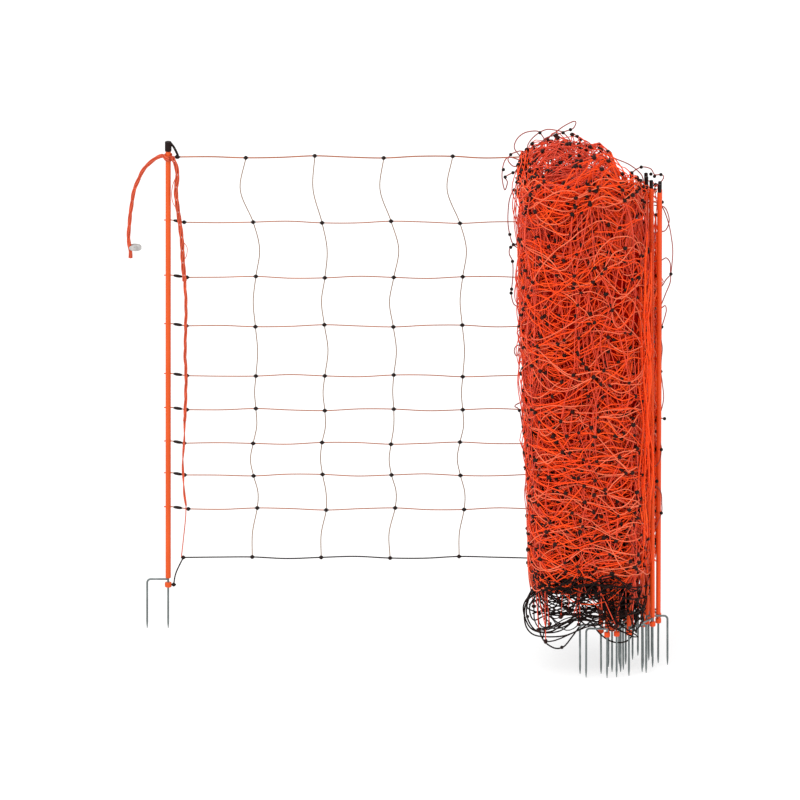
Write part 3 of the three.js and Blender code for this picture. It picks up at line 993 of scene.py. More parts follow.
# Foot x and y from the end post, the turn of the step bar and the top's lean in x and y
BUNDLED_PLACES = tuple(
    PostPlace((x * MM, y * MM), turn, (lean_x * MM, lean_y * MM))
    for x, y, turn, lean_x, lean_y in (
        (948, -387, 180, -4, 6),
        (961, -423, 175, 3, 8),
        (982, -417, 79, 2, 10),
        (1009, -406, 35, 0, 4),
        (1040, -336, 200, -8, 0),
        (1061, -332, 240, -3, -4),
        (1073, -249, 165, 4, -84),
        (1073, -297, 108, 3, -66),
        (1047.5, -313, 3, 0, 8),
        (1052.5, -274, 200, -6, 0),
        (1002, -308, 255, 0, 0),
        (1017, -268, 230, -2, 6),
        (972, -372, 100, 0, 8),
    )
)


@dataclass
class Sleeves:
    """The short black tubes on the strands beside the end post."""

    shop: Workshop
    pattern: NetPattern
    diameter: float = 0.0068
    length: float = 0.0195
    start: float = 0.0115
    shares: tuple[float, ...] = (0.0, 0.07, 0.22, 0.45, 0.72, 0.92, 1.0)
    tapers: tuple[float, ...] = (0.45, 0.72, 0.95, 1.06, 0.98, 0.74, 0.45)

    def build(self) -> None:
        """Makes one sleeve for each held row."""
        for row in range(1, self.pattern.last_row):
            hole = Vector((0.0079, 0.0, self.pattern.row_heights[row] + self.pattern.hole_rise))
            along = (self.pattern.knot(row, 0) - hole).normalized()
            first = hole + along * ((self.start - hole.x) / along.x)
            line = np.array([tuple(first + along * self.length * share) for share in self.shares])
            mesh = self.shop.lines_mesh([line], self.diameter, 4, [self.tapers])
            name = f"sleeve_{row + 1}"
            self.shop.finish_piece(mesh, name, Role.BLACK_PLASTIC, [f"spacer_sleeve_{row + 1}"])


@dataclass
class Lead:
    """The twisted lead down the net's edge, its free end and the clamp on it."""

    shop: Workshop
    pattern: NetPattern
    strand: float = 0.0040
    pitch: float = 0.115
    stray_d: float = 0.0017
    wrap_turns: int = 4
    wrap_top: float = 1.0740
    wrap_width: float = 0.0125
    stray: tuple[tuple[tuple[float, float, float], ...], ...] = (
        ((0.019, -0.009, 1.030), (0.010, -0.011, 1.007), (0.0075, -0.011, 0.982), (0.012, -0.010, 0.963), (0.021, -0.008, 0.950)),
        ((0.030, -0.008, 0.880), (0.041, -0.008, 0.866), (0.040, -0.008, 0.846), (0.033, -0.008, 0.834)),
    )
    route: tuple[tuple[float, float], ...] = tuple(
        (x * MM, z * MM)
        for x, z in (
            (8, 1071), (17, 1050), (20, 1027), (17, 993), (20, 959), (24, 929), (30, 880), (32, 834),
            (36, 789), (39, 732), (38, 676), (37, 619), (39, 578), (38, 517), (36, 471), (35, 426),
            (32, 381), (33, 345), (35, 308), (39, 279), (38, 250), (33, 200), (29, 163),
        )
    )
    stretches: tuple[tuple[int, int, float, int, float], ...] = (
        (0, 8, 0.0104, 4, 0.0040), (8, 14, 0.0080, 3, 0.0037), (14, 19, 0.0056, 2, 0.0029), (19, 22, 0.0024, 1, 0.0026),
    )
    tail_route: tuple[tuple[float, float, float], ...] = tuple(
        (x * MM, y * MM, z * MM)
        for x, y, z in (
            (-11.2, 0, 1071), (-17, -0.5, 1070), (-25, -1, 1066.5), (-32, -1, 1062), (-39, -1, 1056),
            (-50, -1, 1045), (-58.5, -1, 1032), (-65, -1, 1017), (-71.5, -1, 1002), (-76, -1, 987),
            (-78.5, -0.5, 971), (-80.5, 0, 956), (-83, 0, 940), (-84.5, 0, 922), (-86, 0, 905),
            (-87, 0, 889), (-86, 0, 874), (-84, 0, 862), (-82.5, 0, 851), (-82.5, 0, 839),
        )
    )
    tail_d: float = 0.0084
    clamp_centre: tuple[float, float] = (-0.072, 0.863)
    clamp_length: float = 0.0275
    clamp_width: float = 0.0145
    clamp_plate: float = 0.003
    knot_depth: float = 0.006
    gap: float = 0.0003

    def build_edge(self) -> None:
        """Makes the lead's run beside the first column and its turns round the post."""
        lines: list[np.ndarray] = []
        widths: list[float] = []
        for first, last, diameter, count, strand in self.stretches:
            y = -(self.knot_depth / 2 + self.gap + diameter / 2)
            centre = smooth_line([(x, y, z) for x, z in self.route[first:last + 1]], 0.003)
            spread = (diameter - strand) / 2 if count > 1 else 0.0
            lines += twisted_strands(centre, count, spread, self.pitch)
            widths += [strand / self.strand] * count
        wrap_r = 0.0059 + self.gap + self.strand * 0.4
        angles = np.linspace(0, 2 * math.pi * self.wrap_turns, 30 * self.wrap_turns)
        heights = self.wrap_top - self.wrap_width * angles / angles[-1] + 0.0012 * np.sin(angles)
        lines.append(np.stack([wrap_r * np.cos(angles), wrap_r * np.sin(angles), heights], axis=1))
        over = smooth_line([(0.002, -0.0104, 1.066), (-0.006, -0.0085, 1.0685), tuple(self.tail_route[0])], 0.002)
        lines += twisted_strands(over, 3, 0.0024, self.pitch)
        widths += [0.8] + [1.0] * 3
        radii = [[width] * len(line) for width, line in zip(widths, lines)]
        mesh = self.shop.lines_mesh(lines, self.strand, 1, radii)
        self.shop.finish_piece(mesh, "edge_lead", Role.ORANGE_TWINE, ["connecting_lead"], "lead")
        mesh = self.shop.lines_mesh([smooth_line(line, 0.003) for line in self.stray], self.stray_d, 1)
        self.shop.finish_piece(mesh, "edge_lead_strays", Role.ORANGE_TWINE, ["connecting_lead"], "lead")

    def build_tail(self) -> None:
        """Makes the free end as one twisted cord, and the clamp that it runs through."""
        centre = smooth_line(self.tail_route, 0.003)
        strands = twisted_strands(centre, 4, (self.tail_d - self.strand) / 2 + 0.0005, self.pitch)
        mesh = self.shop.lines_mesh(strands, self.strand, 1)
        cord = self.shop.finish_piece(mesh, "free_lead", Role.ORANGE_TWINE, ["lead_tail"], "lead")
        clamp = self._clamp()

    def _clamp(self) -> bpy.types.Object:
        """Returns the clamp: two oval plates, a bolt and its head."""
        x, z = self.clamp_centre
        inside = self.tail_d / 2 + self.gap
        shape = bmesh.new()
        for low in (-inside - self.clamp_plate, inside):
            self._plate(shape, low)
        turn = Matrix.Rotation(math.pi / 2, 4, "X")
        reach = 2 * (inside + self.clamp_plate) + 0.002
        bmesh.ops.create_cone(shape, cap_ends=True, segments=20, radius1=0.003, radius2=0.003, depth=reach, matrix=turn)
        for sides, radius, depth in ((24, 0.0052, 0.0014), (6, 0.0036, 0.0042)):
            head = Matrix.Translation((0, -(inside + self.clamp_plate + depth / 2), 0)) @ turn
            faces = bmesh.ops.create_cone(
                shape, cap_ends=True, segments=sides, radius1=radius, radius2=radius, depth=depth, matrix=head
            )
            edges = list({edge for vert in faces["verts"] for edge in vert.link_edges})
            bmesh.ops.bevel(shape, geom=edges, affect="EDGES", offset=0.0004, segments=2, profile=0.5, material=-1)
        mesh = self.shop.mesh_of(shape, Matrix.Translation((x, 0, z)))
        return self.shop.finish_piece(mesh, "end_clamp", Role.STEEL, ["lead_clamp"], "clamp")

    def _plate(self, shape: bmesh.types.BMesh, low: float) -> None:
        """Adds one oval plate to the clamp.

        Args:
            shape: The clamp.
            low: The plate's front face on y.
        """
        outline = []
        for k in range(36):
            angle = k * math.pi / 18
            outline.append((self.clamp_length / 2 * math.cos(angle), low, self.clamp_width / 2 * math.sin(angle)))
        face = shape.faces.new([shape.verts.new(point) for point in outline])
        grown = bmesh.ops.extrude_face_region(shape, geom=[face])
        verts = [part for part in grown["geom"] if isinstance(part, bmesh.types.BMVert)]
        bmesh.ops.translate(shape, vec=(0, self.clamp_plate, 0), verts=verts)
        rim = [edge for edge in shape.edges if abs(edge.verts[0].co.y - edge.verts[1].co.y) < 1e-7]
        rim = [edge for edge in rim if edge.is_valid and abs(edge.verts[0].co.y - low) < self.clamp_plate * 1.01]
        bmesh.ops.bevel(shape, geom=rim, affect="EDGES", offset=0.0006, segments=2, profile=0.5, material=-1)


@dataclass(frozen=True)
class BundlePlan:
    """The bundle's plan outline: a rounded box, narrower at the back, that leans out to the top."""

    left_top: float = 0.767
    left_foot: float = 0.791
    right: float = 1.070
    front_right: float = 1.050
    back: float = 0.014
    front: float = -0.454
    narrowing: float = 0.70
    squareness: float = 4.4
    foot: float = 0.17
    shoulder: float = 1.04

    def left(self, height: float) -> float:
        """Returns the outline's left edge at a height."""
        rise = float(smooth_step(height, self.foot, self.shoulder))
        return self.left_foot + (self.left_top - self.left_foot) * rise

    def unit(self, angle: np.ndarray) -> tuple[np.ndarray, np.ndarray]:
        """Returns the rounded box's unit coordinates at angles from the right side."""
        power = 2 / self.squareness
        across = np.sign(np.cos(angle)) * np.abs(np.cos(angle)) ** power
        deep = np.sign(np.sin(angle)) * np.abs(np.sin(angle)) ** power
        return across, deep

    def place(self, angle: np.ndarray, depth: np.ndarray | float, height: float) -> tuple[np.ndarray, np.ndarray]:
        """Returns points of the outline.

        Args:
            angle: Angles from the right side.
            depth: How far inside the outline each point lies.
            height: The height, which sets the left edge.

        Returns:
            x and y of each point.
        """
        across, deep = self.unit(angle)
        left = self.left(height)
        y = (self.front + self.back) / 2 + deep * ((self.back - self.front) / 2 - depth)
        right = np.interp(y, [-0.36, -0.24], [self.front_right, self.right])
        x = (left + right) / 2 + across * ((right - left) / 2 - depth)
        narrow = self.narrowing * smooth_step(y, (self.front + self.back) / 2, self.back)
        return left + (x - left) * (1 - narrow), y

    def angles_along(self, along: np.ndarray) -> np.ndarray:
        """Turns distances round the outline into angles.

        Args:
            along: Distances from the front right corner, over the front, the left side and the back.

        Returns:
            The angles.
        """
        table = np.linspace(0, 2 * math.pi, 721)
        turned = -math.pi / 4 - table
        x, y = self.place(turned, 0.0, 0.6)
        steps = np.hypot(np.diff(x), np.diff(y))
        lengths = np.concatenate([[0.0], np.cumsum(steps)])
        return np.interp(np.mod(along, lengths[-1]), lengths, turned)


@dataclass
class FoldedNet:
    """The rest of the net: its rows and uprights folded round a hidden core, and the folds' tops and feet."""

    shop: Workshop
    pattern: NetPattern
    plan: BundlePlan = BundlePlan()
    cells: int = 262
    front_share: float = 0.12
    ground_inset: float = 0.009
    inner_ground_cells: int = 225
    right_strands: int = 84
    side_cells: int = 84
    side_reach: tuple[float, float] = (0.76, 1.16)
    ground_front_strands: int = 13
    samples: int = 12
    inner_cells: int = 135
    shell: float = 0.044
    core_depth: float = 0.032
    core_spare: float = 0.020
    core_top: float = 1.032
    roof_start: float = 0.905
    roof_gain: float = 0.006
    core_foot: float = 0.296
    shade_heights: tuple[float, float] = (0.290, 0.440)
    shade_depths: tuple[float, float] = (0.025, 0.035)
    dark_core_foot: float = 0.180
    dark_corner_foot: float = 0.128
    dark_corner_left: float = 0.940
    waviness: tuple[float, ...] = (1.0, 1.5, 1.5, 1.35, 1.2, 1.05, 1.0, 1.0, 1.0, 0.3)
    seed: int = 11

    def __post_init__(self) -> None:
        """Starts the folds' own random values."""
        self.rng = np.random.default_rng(self.seed)

    def lift(self, x: np.ndarray, y: np.ndarray) -> np.ndarray:
        """Returns how far the top strand's folds rise over their own height.

        Args:
            x: Distances from the end post.
            y: Depths.

        Returns:
            One rise for each point.
        """
        depths = [-0.44, -0.38, -0.30, -0.20, -0.12, -0.06, 0.02]
        rise = np.interp(y, depths, [0.010, 0.018, 0.031, 0.040, 0.044, 0.036, 0.016])
        reaches = [0.765, 0.79, 0.815, 0.858, 0.89, 0.925, 0.945, 0.97, 0.99, 1.03, 1.06]
        share = np.interp(x, reaches, [-0.2, 0.2, 0.75, 1.0, 0.9, 0.95, 1.05, 0.5, -0.85, -0.75, -0.4])
        across = smooth_step(x, 0.86, 0.96) * (1 - smooth_step(x, 1.02, 1.05))
        over_posts = 0.036 * across * (1 - smooth_step(y, -0.43, -0.34))
        return rise * share + over_posts

    def droop(self, x: np.ndarray, y: np.ndarray) -> np.ndarray:
        """Returns how far the lowest strand's folds may hang at the front left corner."""
        to_left = 1 - smooth_step(x, 0.80, 0.92)
        to_front = 1 - smooth_step(y, -0.40, -0.16)
        return 0.012 + 0.028 * to_left * to_front + 0.010 * to_front

    def heights(self, row: int, x: np.ndarray, y: np.ndarray) -> np.ndarray:
        """Returns a row's heights over a plan.

        Args:
            row: The row.
            x: Distances from the end post.
            y: Depths.

        Returns:
            One height for each point.
        """
        last = self.pattern.last_row
        own = self.pattern.row_heights[row]
        top_share = (1 - row / last) ** 1.6
        to_front = 1 - smooth_step(y, -0.44, -0.20)
        if row < last:
            return own + top_share * self.lift(x, y) - 0.024 * (row / last) ** 4 * to_front
        at_posts = smooth_step(x, 0.93, 0.97)
        gathered = 0.060 * to_front * (1 - at_posts) + (0.010 + 0.022 * at_posts) * wander(self.rng, len(x), 7.0)
        hanging = smooth_step(wander(self.rng, len(x), 26.0), 0.05, 0.95)
        loose = self.droop(x, y) * (1 + 0.5 * np.minimum(wander(self.rng, len(x), 13.0), 0.5))
        return own + gathered * (1 - hanging) - loose * hanging

    def shell_path(self, count: int) -> tuple[np.ndarray, np.ndarray]:
        """Returns the folds' path round the core as distances along the outline and depths.

        Args:
            count: How many samples.

        Returns:
            The distances and the depths.
        """
        rng = self.rng
        turns, total = [0.74], 0.0
        while total < count / self.samples * self.pattern.mesh_width:
            kind = rng.random()
            far = rng.uniform(0.27, 0.40) if kind < 0.56 else rng.uniform(0.66, 0.80)
            if kind > 0.78:
                far = rng.uniform(0.98, 1.42)
            turns += [rng.uniform(-0.17, 0.02), far]
            total = float(np.abs(np.diff(turns)).sum())
        ends = np.concatenate([[0.0], np.cumsum(np.abs(np.diff(turns)))])
        at = np.linspace(0, total, count)
        along = np.interp(at, ends, turns)
        along = np.convolve(np.pad(along, 2, mode="edge"), np.ones(5) / 5, mode="valid")
        flips = np.interp(at, ends, np.where(np.arange(len(ends)) % 2 == 0, -1.0, 1.0))
        depth = self.shell * (1 - at / total) ** 1.35 + 0.003 * flips
        return along, depth

    def side_path(self, count: int) -> tuple[np.ndarray, np.ndarray]:
        """Returns a path to and fro over the back and the right side, as distances and depths.

        Args:
            count: How many samples.

        Returns:
            The distances and the depths.
        """
        near, far = self.side_reach
        total = count / self.samples * self.pattern.mesh_width
        turns = [near]
        while float(np.abs(np.diff(turns)).sum()) < total:
            turns += [far - self.rng.uniform(0.0, 0.16), near + self.rng.uniform(0.0, 0.14)]
        ends = np.concatenate([[0.0], np.cumsum(np.abs(np.diff(turns)))])
        at = np.linspace(0, ends[-1], count)
        return np.interp(at, ends, turns), np.linspace(0.026, 0.008, count)

    def rows_along(self, along: np.ndarray, depth: np.ndarray) -> np.ndarray:
        """Returns every row on a path, as an array of rows, samples and coordinates.

        Args:
            along: The path's distances along the outline.
            depth: Its depths inside the outline.

        Returns:
            The rows.
        """
        rng = self.rng
        count = len(along)
        shared = [wander(rng, count, step) for step in (11.0, 9.0, 14.0)]
        rows = []
        for row, height in enumerate(self.pattern.row_heights):
            own = [wander(rng, count, step) for step in (6.0, 5.5, 8.0, 4.5, 26.0)]
            slip = along + 0.010 * shared[0] + 0.014 * own[0] + 0.032 * own[4]
            inset = np.maximum(depth + 0.006 * shared[1] + 0.008 * own[1], -0.003)
            if row == self.pattern.last_row:
                inset = inset + self.ground_inset
            x, y = self.plan.place(self.plan.angles_along(slip), inset, height)
            waves = (0.014 * shared[2] + 0.030 * own[2] + 0.009 * own[3]) * self.waviness[row]
            if row == 0:
                waves = waves * (0.45 + 0.75 * (1 - smooth_step(y, -0.44, -0.30)))
            rows.append(np.stack([x, y, self.heights(row, x, y) + waves], axis=1))
        return np.array(rows)

    def inner_rows(self, row: int) -> np.ndarray:
        """Returns one row of the folds inside the shell, to and fro from the back to the front.

        Args:
            row: The row.

        Returns:
            Its points.
        """
        rng = self.rng
        cells = self.inner_cells if row == 0 else self.inner_ground_cells
        count = cells * self.samples + 1
        total = count / self.samples * self.pattern.mesh_width
        turns = [0.0]
        while np.abs(np.diff(turns)).sum() * 0.30 < total:
            turns += [rng.uniform(0.80, 1.0), rng.uniform(0.0, 0.16)]
        ends = np.concatenate([[0.0], np.cumsum(np.abs(np.diff(turns)))])
        at = np.linspace(0, ends[-1], count)
        share = np.interp(at, ends, turns)
        y = np.interp(at, ends, np.linspace(-0.012, -0.415, len(ends)))
        y = np.minimum(y + 0.030 * wander(rng, count, 9.0), -0.004)
        left = self.plan.left(self.pattern.row_heights[row]) + 0.012
        right = np.interp(y, [-0.36, -0.24, 0.02], [self.plan.front_right, self.plan.right, 0.860]) - 0.012
        x = left + (right - left) * share + 0.014 * wander(rng, count, 7.0)
        waves = (0.020 * wander(rng, count, 8.0) + 0.009 * wander(rng, count, 4.5)) * (1.0 if row == 0 else 0.4)
        return np.stack([x, y, self.heights(row, x, y) + waves], axis=1)

    def upright_lines(self, rows: np.ndarray, first: int, last: int) -> list[np.ndarray]:
        """Returns the uprights between two rows.

        Args:
            rows: Every row's points.
            first: The upper row.
            last: The lower row.

        Returns:
            One line for each upright.
        """
        lines = []
        for cell in range(0, rows.shape[1], self.samples):
            knots = rows[first:last + 1, cell]
            points = [knots[0]]
            for upper, lower in zip(knots, knots[1:]):
                reach = 0.005 + 0.006 * smooth_step((upper[2] + lower[2]) / 2, 0.25, 0.80)
                bow = np.clip(self.rng.normal(size=3), -1.6, 1.6) * (float(reach), 0.005, 0.004)
                points += [(upper + lower) / 2 + bow, lower]
            lines.append(smooth_line(points, 0.0135))
        return lines

    def knot_bead(self) -> bmesh.types.BMesh:
        """Returns a small bead for the many knots of the bundle."""
        bead = bmesh.new()
        bmesh.ops.create_icosphere(bead, subdivisions=1, radius=0.0052)
        bmesh.ops.scale(bead, vec=(1.2, 0.9, 1.0), verts=bead.verts)
        return bead

    def random_turns(self, count: int) -> np.ndarray:
        """Returns random rotations as 3 by 3 arrays."""
        turns = []
        for _ in range(count):
            axis = Vector(self.rng.normal(size=3)).normalized()
            angle = self.rng.uniform(0, 2 * math.pi)
            turns.append(np.array(Quaternion(axis, angle).to_matrix()))
        return np.array(turns)

    def build_knots(self, name: str, centres: np.ndarray) -> None:
        """Makes one bead at each centre.

        Args:
            name: The piece's name.
            centres: The knots' places.
        """
        sizes = self.rng.uniform(0.8, 1.12, len(centres))
        mesh = self.shop.scattered_mesh(self.knot_bead(), centres, self.random_turns(len(centres)), sizes)
        self.shop.finish_piece(mesh, name, Role.BLACK_PLASTIC, ["folded_netting"], "bundle_knot")

    def build_shell(self) -> None:
        """Makes the folds round the core with every row and upright."""
        pattern = self.pattern
        rows = self.rows_along(*self.shell_path(self.cells * self.samples + 1))
        split = int(rows.shape[1] * (1 - self.front_share))
        for name, (first, last) in {"upper": (0, 3), "middle": (3, 6), "lower": (6, 9)}.items():
            mesh = self.shop.lines_mesh(list(rows[first:last, :split + 1]), pattern.strand)
            self.shop.finish_piece(mesh, f"folded_rows_{name}", Role.ORANGE_TWINE, ["folded_netting"])
        # The outermost stretch of the rows takes the front finish, a painted highlight that makes these strands lighter
        # and pinker than the same twine further in.
        mesh = self.shop.lines_mesh(list(rows[:-1, split:]), pattern.strand)
        self.shop.finish_piece(mesh, "folded_rows_front", Role.ORANGE_TWINE, ["folded_netting"], "front")
        for name, (first, last) in {"upper": (0, 4), "lower": (4, 9)}.items():
            mesh = self.shop.lines_mesh(self.upright_lines(rows, first, last), pattern.upright)
            self.shop.finish_piece(mesh, f"folded_uprights_{name}", Role.ORANGE_TWINE, ["folded_netting"], "upright")
        mesh = self.shop.lines_mesh([rows[-1]], pattern.ground_strand)
        self.shop.finish_piece(mesh, "folded_ground_shell", Role.BLACK_TWINE, ["folded_ground_strand"])
        self.build_knots("folded_knots", rows[:, ::self.samples].reshape(-1, 3))

    def build_inside(self) -> None:
        """Makes the tops and the feet of the folds inside the shell."""
        pattern = self.pattern
        top = self.inner_rows(0)
        under = top.copy()
        under[:, 2] -= 0.11
        under[:, :2] += 0.012 * np.stack([wander(self.rng, len(top), 5.0) for _ in range(2)], axis=1)
        uprights = self.upright_lines(np.array([top, under]), 0, 1)
        mesh = self.shop.lines_mesh([top] + uprights, pattern.strand)
        self.shop.finish_piece(mesh, "folded_tops", Role.ORANGE_TWINE, ["folded_netting"], "upright")
        self.build_knots("folded_top_knots", top[::self.samples])
        mesh = self.shop.lines_mesh([self.inner_rows(pattern.last_row)], pattern.ground_strand)
        self.shop.finish_piece(mesh, "folded_ground_inside", Role.BLACK_TWINE, ["folded_ground_strand"])

    def build_right(self) -> None:
        """Makes the steep strands that hang between the bundled posts at the right."""
        rng = self.rng
        lines = []
        for index in range(self.right_strands):
            x, y = rng.uniform(1.030, 1.058), rng.uniform(-0.43, -0.22)
            if index % 3 == 0:
                x, y = rng.uniform(1.061, 1.071), rng.uniform(-0.25, -0.20)
            tops = np.linspace(rng.uniform(0.72, 1.01), rng.uniform(0.20, 0.50), 7)
            sway = np.clip(rng.normal(size=(7, 2)), -1.5, 1.5) * 0.005
            points = np.column_stack([x + sway[:, 0], y + sway[:, 1], tops])
            lines.append(smooth_line(points, 0.02))
        mesh = self.shop.lines_mesh(lines, self.pattern.strand)
        self.shop.finish_piece(mesh, "folded_right_strands", Role.ORANGE_TWINE, ["folded_netting"])

    def build_side(self) -> None:
        """Makes more folds over the back and the right side, under the top rows."""
        pattern = self.pattern
        rows = self.rows_along(*self.side_path(self.side_cells * self.samples + 1))
        first, last = 1, pattern.last_row - 1
        mesh = self.shop.lines_mesh(list(rows[first:last + 1]), pattern.strand)
        self.shop.finish_piece(mesh, "folded_rows_side", Role.ORANGE_TWINE, ["folded_netting"])
        mesh = self.shop.lines_mesh(self.upright_lines(rows, first, last), pattern.upright)
        self.shop.finish_piece(mesh, "folded_uprights_side", Role.ORANGE_TWINE, ["folded_netting"], "upright")
        self.build_knots("folded_knots_side", rows[first:last + 1, ::self.samples].reshape(-1, 3))

    def build_ground_front(self) -> None:
        """Makes the black strands that lie over the front of the lowest folds."""
        rng = self.rng
        lines = []
        for _ in range(self.ground_front_strands):
            first = rng.uniform(0.788, 0.930)
            x = np.linspace(first, min(first + rng.uniform(0.08, 0.20), 1.035), 8)
            z = rng.uniform(0.188, 0.236) + 0.014 * wander(rng, 8, 2.0)
            y = rng.uniform(-0.462, -0.452) + 0.003 * wander(rng, 8, 2.0)
            lines.append(smooth_line(np.stack([x, y, z], axis=1), 0.006))
        mesh = self.shop.lines_mesh(lines, self.pattern.ground_strand, 1)
        self.shop.finish_piece(mesh, "folded_ground_front", Role.BLACK_TWINE, ["folded_ground_strand"])

    def rough_body(self, plan: BundlePlan, levels: Sequence[tuple[float, float, float]]) -> bpy.types.Mesh:
        """Makes a closed body with a rough side.

        Args:
            plan: The body's plan.
            levels: Height, depth inside the plan's outline and growth of its right side, from below.

        Returns:
            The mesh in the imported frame.
        """
        around = 96
        angles = np.linspace(0, 2 * math.pi, around, endpoint=False)
        shape = bmesh.new()
        rings = []
        for height, depth, spare in levels:
            grown = replace(plan, right=plan.right + spare, front_right=plan.front_right + spare)
            x, y = grown.place(angles, depth + 0.004 * self.rng.normal(size=around), height)
            share = max(0.0, (height - self.roof_start) / (self.core_top - self.roof_start))
            z = height + share * (self.lift(x, y) + self.roof_gain)
            rings.append([shape.verts.new(point) for point in zip(x, y, z)])
        for low, high in zip(rings, rings[1:]):
            for k in range(around):
                shape.faces.new((low[k], low[k - 1], high[k - 1], high[k]))
        shape.faces.new(rings[0])
        shape.faces.new(rings[-1][::-1])
        return self.shop.mesh_of(shape)

    def build_core(self) -> None:
        """Makes the plain cores that stand for the hidden orange and black folds."""
        depth, spare = self.core_depth, self.core_spare
        levels = []
        for height in np.linspace(self.core_foot, self.roof_start, 24):
            levels.append((height, depth, spare * float(smooth_step(height, 0.28, 0.50))))
        for k in range(1, 9):
            angle = k * math.pi / 16
            rise = (self.core_top - self.roof_start) * math.sin(angle)
            levels.append((self.roof_start + rise, depth + 0.10 * (1 - math.cos(angle)), spare))
        mesh = self.rough_body(self.plan, levels)
        self.shop.finish_piece(mesh, "folded_core", Role.ORANGE_TWINE, ["folded_netting"], "core")
        low, high = self.dark_core_foot, self.core_foot
        levels = [(low, depth + 0.03, 0.0), (low + 0.012, depth + 0.006, 0.0), (high, depth, 0.0)]
        mesh = self.rough_body(self.plan, levels)
        self.shop.finish_piece(mesh, "folded_ground_core", Role.BLACK_TWINE, ["folded_ground_strand"], "dark_core")
        corner = replace(self.plan, left_top=self.dark_corner_left, left_foot=self.dark_corner_left, narrowing=0.0, back=-0.20)
        low, high = self.dark_corner_foot, self.dark_core_foot + 0.01
        mesh = self.rough_body(corner, [(low, 0.052, 0.0), ((low + high) / 2, 0.040, 0.0), (high, 0.038, 0.0)])
        self.shop.finish_piece(mesh, "folded_ground_corner", Role.BLACK_TWINE, ["folded_ground_strand"], "dark_core")

    def build_shade(self) -> None:
        """Makes the dark skin that fades out over the foot of the orange core."""
        levels = []
        for share in np.linspace(0.0, 1.0, 8):
            height = float(np.interp(share, [0, 1], self.shade_heights))
            depth = float(np.interp(share, [0, 1], self.shade_depths))
            levels.append((height, depth, self.core_spare * float(smooth_step(height, 0.28, 0.50))))
        mesh = self.rough_body(self.plan, levels)
        self.shop.finish_piece(mesh, "folded_core_shade", Role.ORANGE_TWINE, ["folded_netting"], "dark_core")

    def build(self) -> None:
        """Makes the core, the shell and the tops and feet of the inner folds."""
        self.build_core()
        self.build_shell()
        self.build_inside()
        self.build_right()
        self.build_side()
        self.build_ground_front()
        self.build_shade()


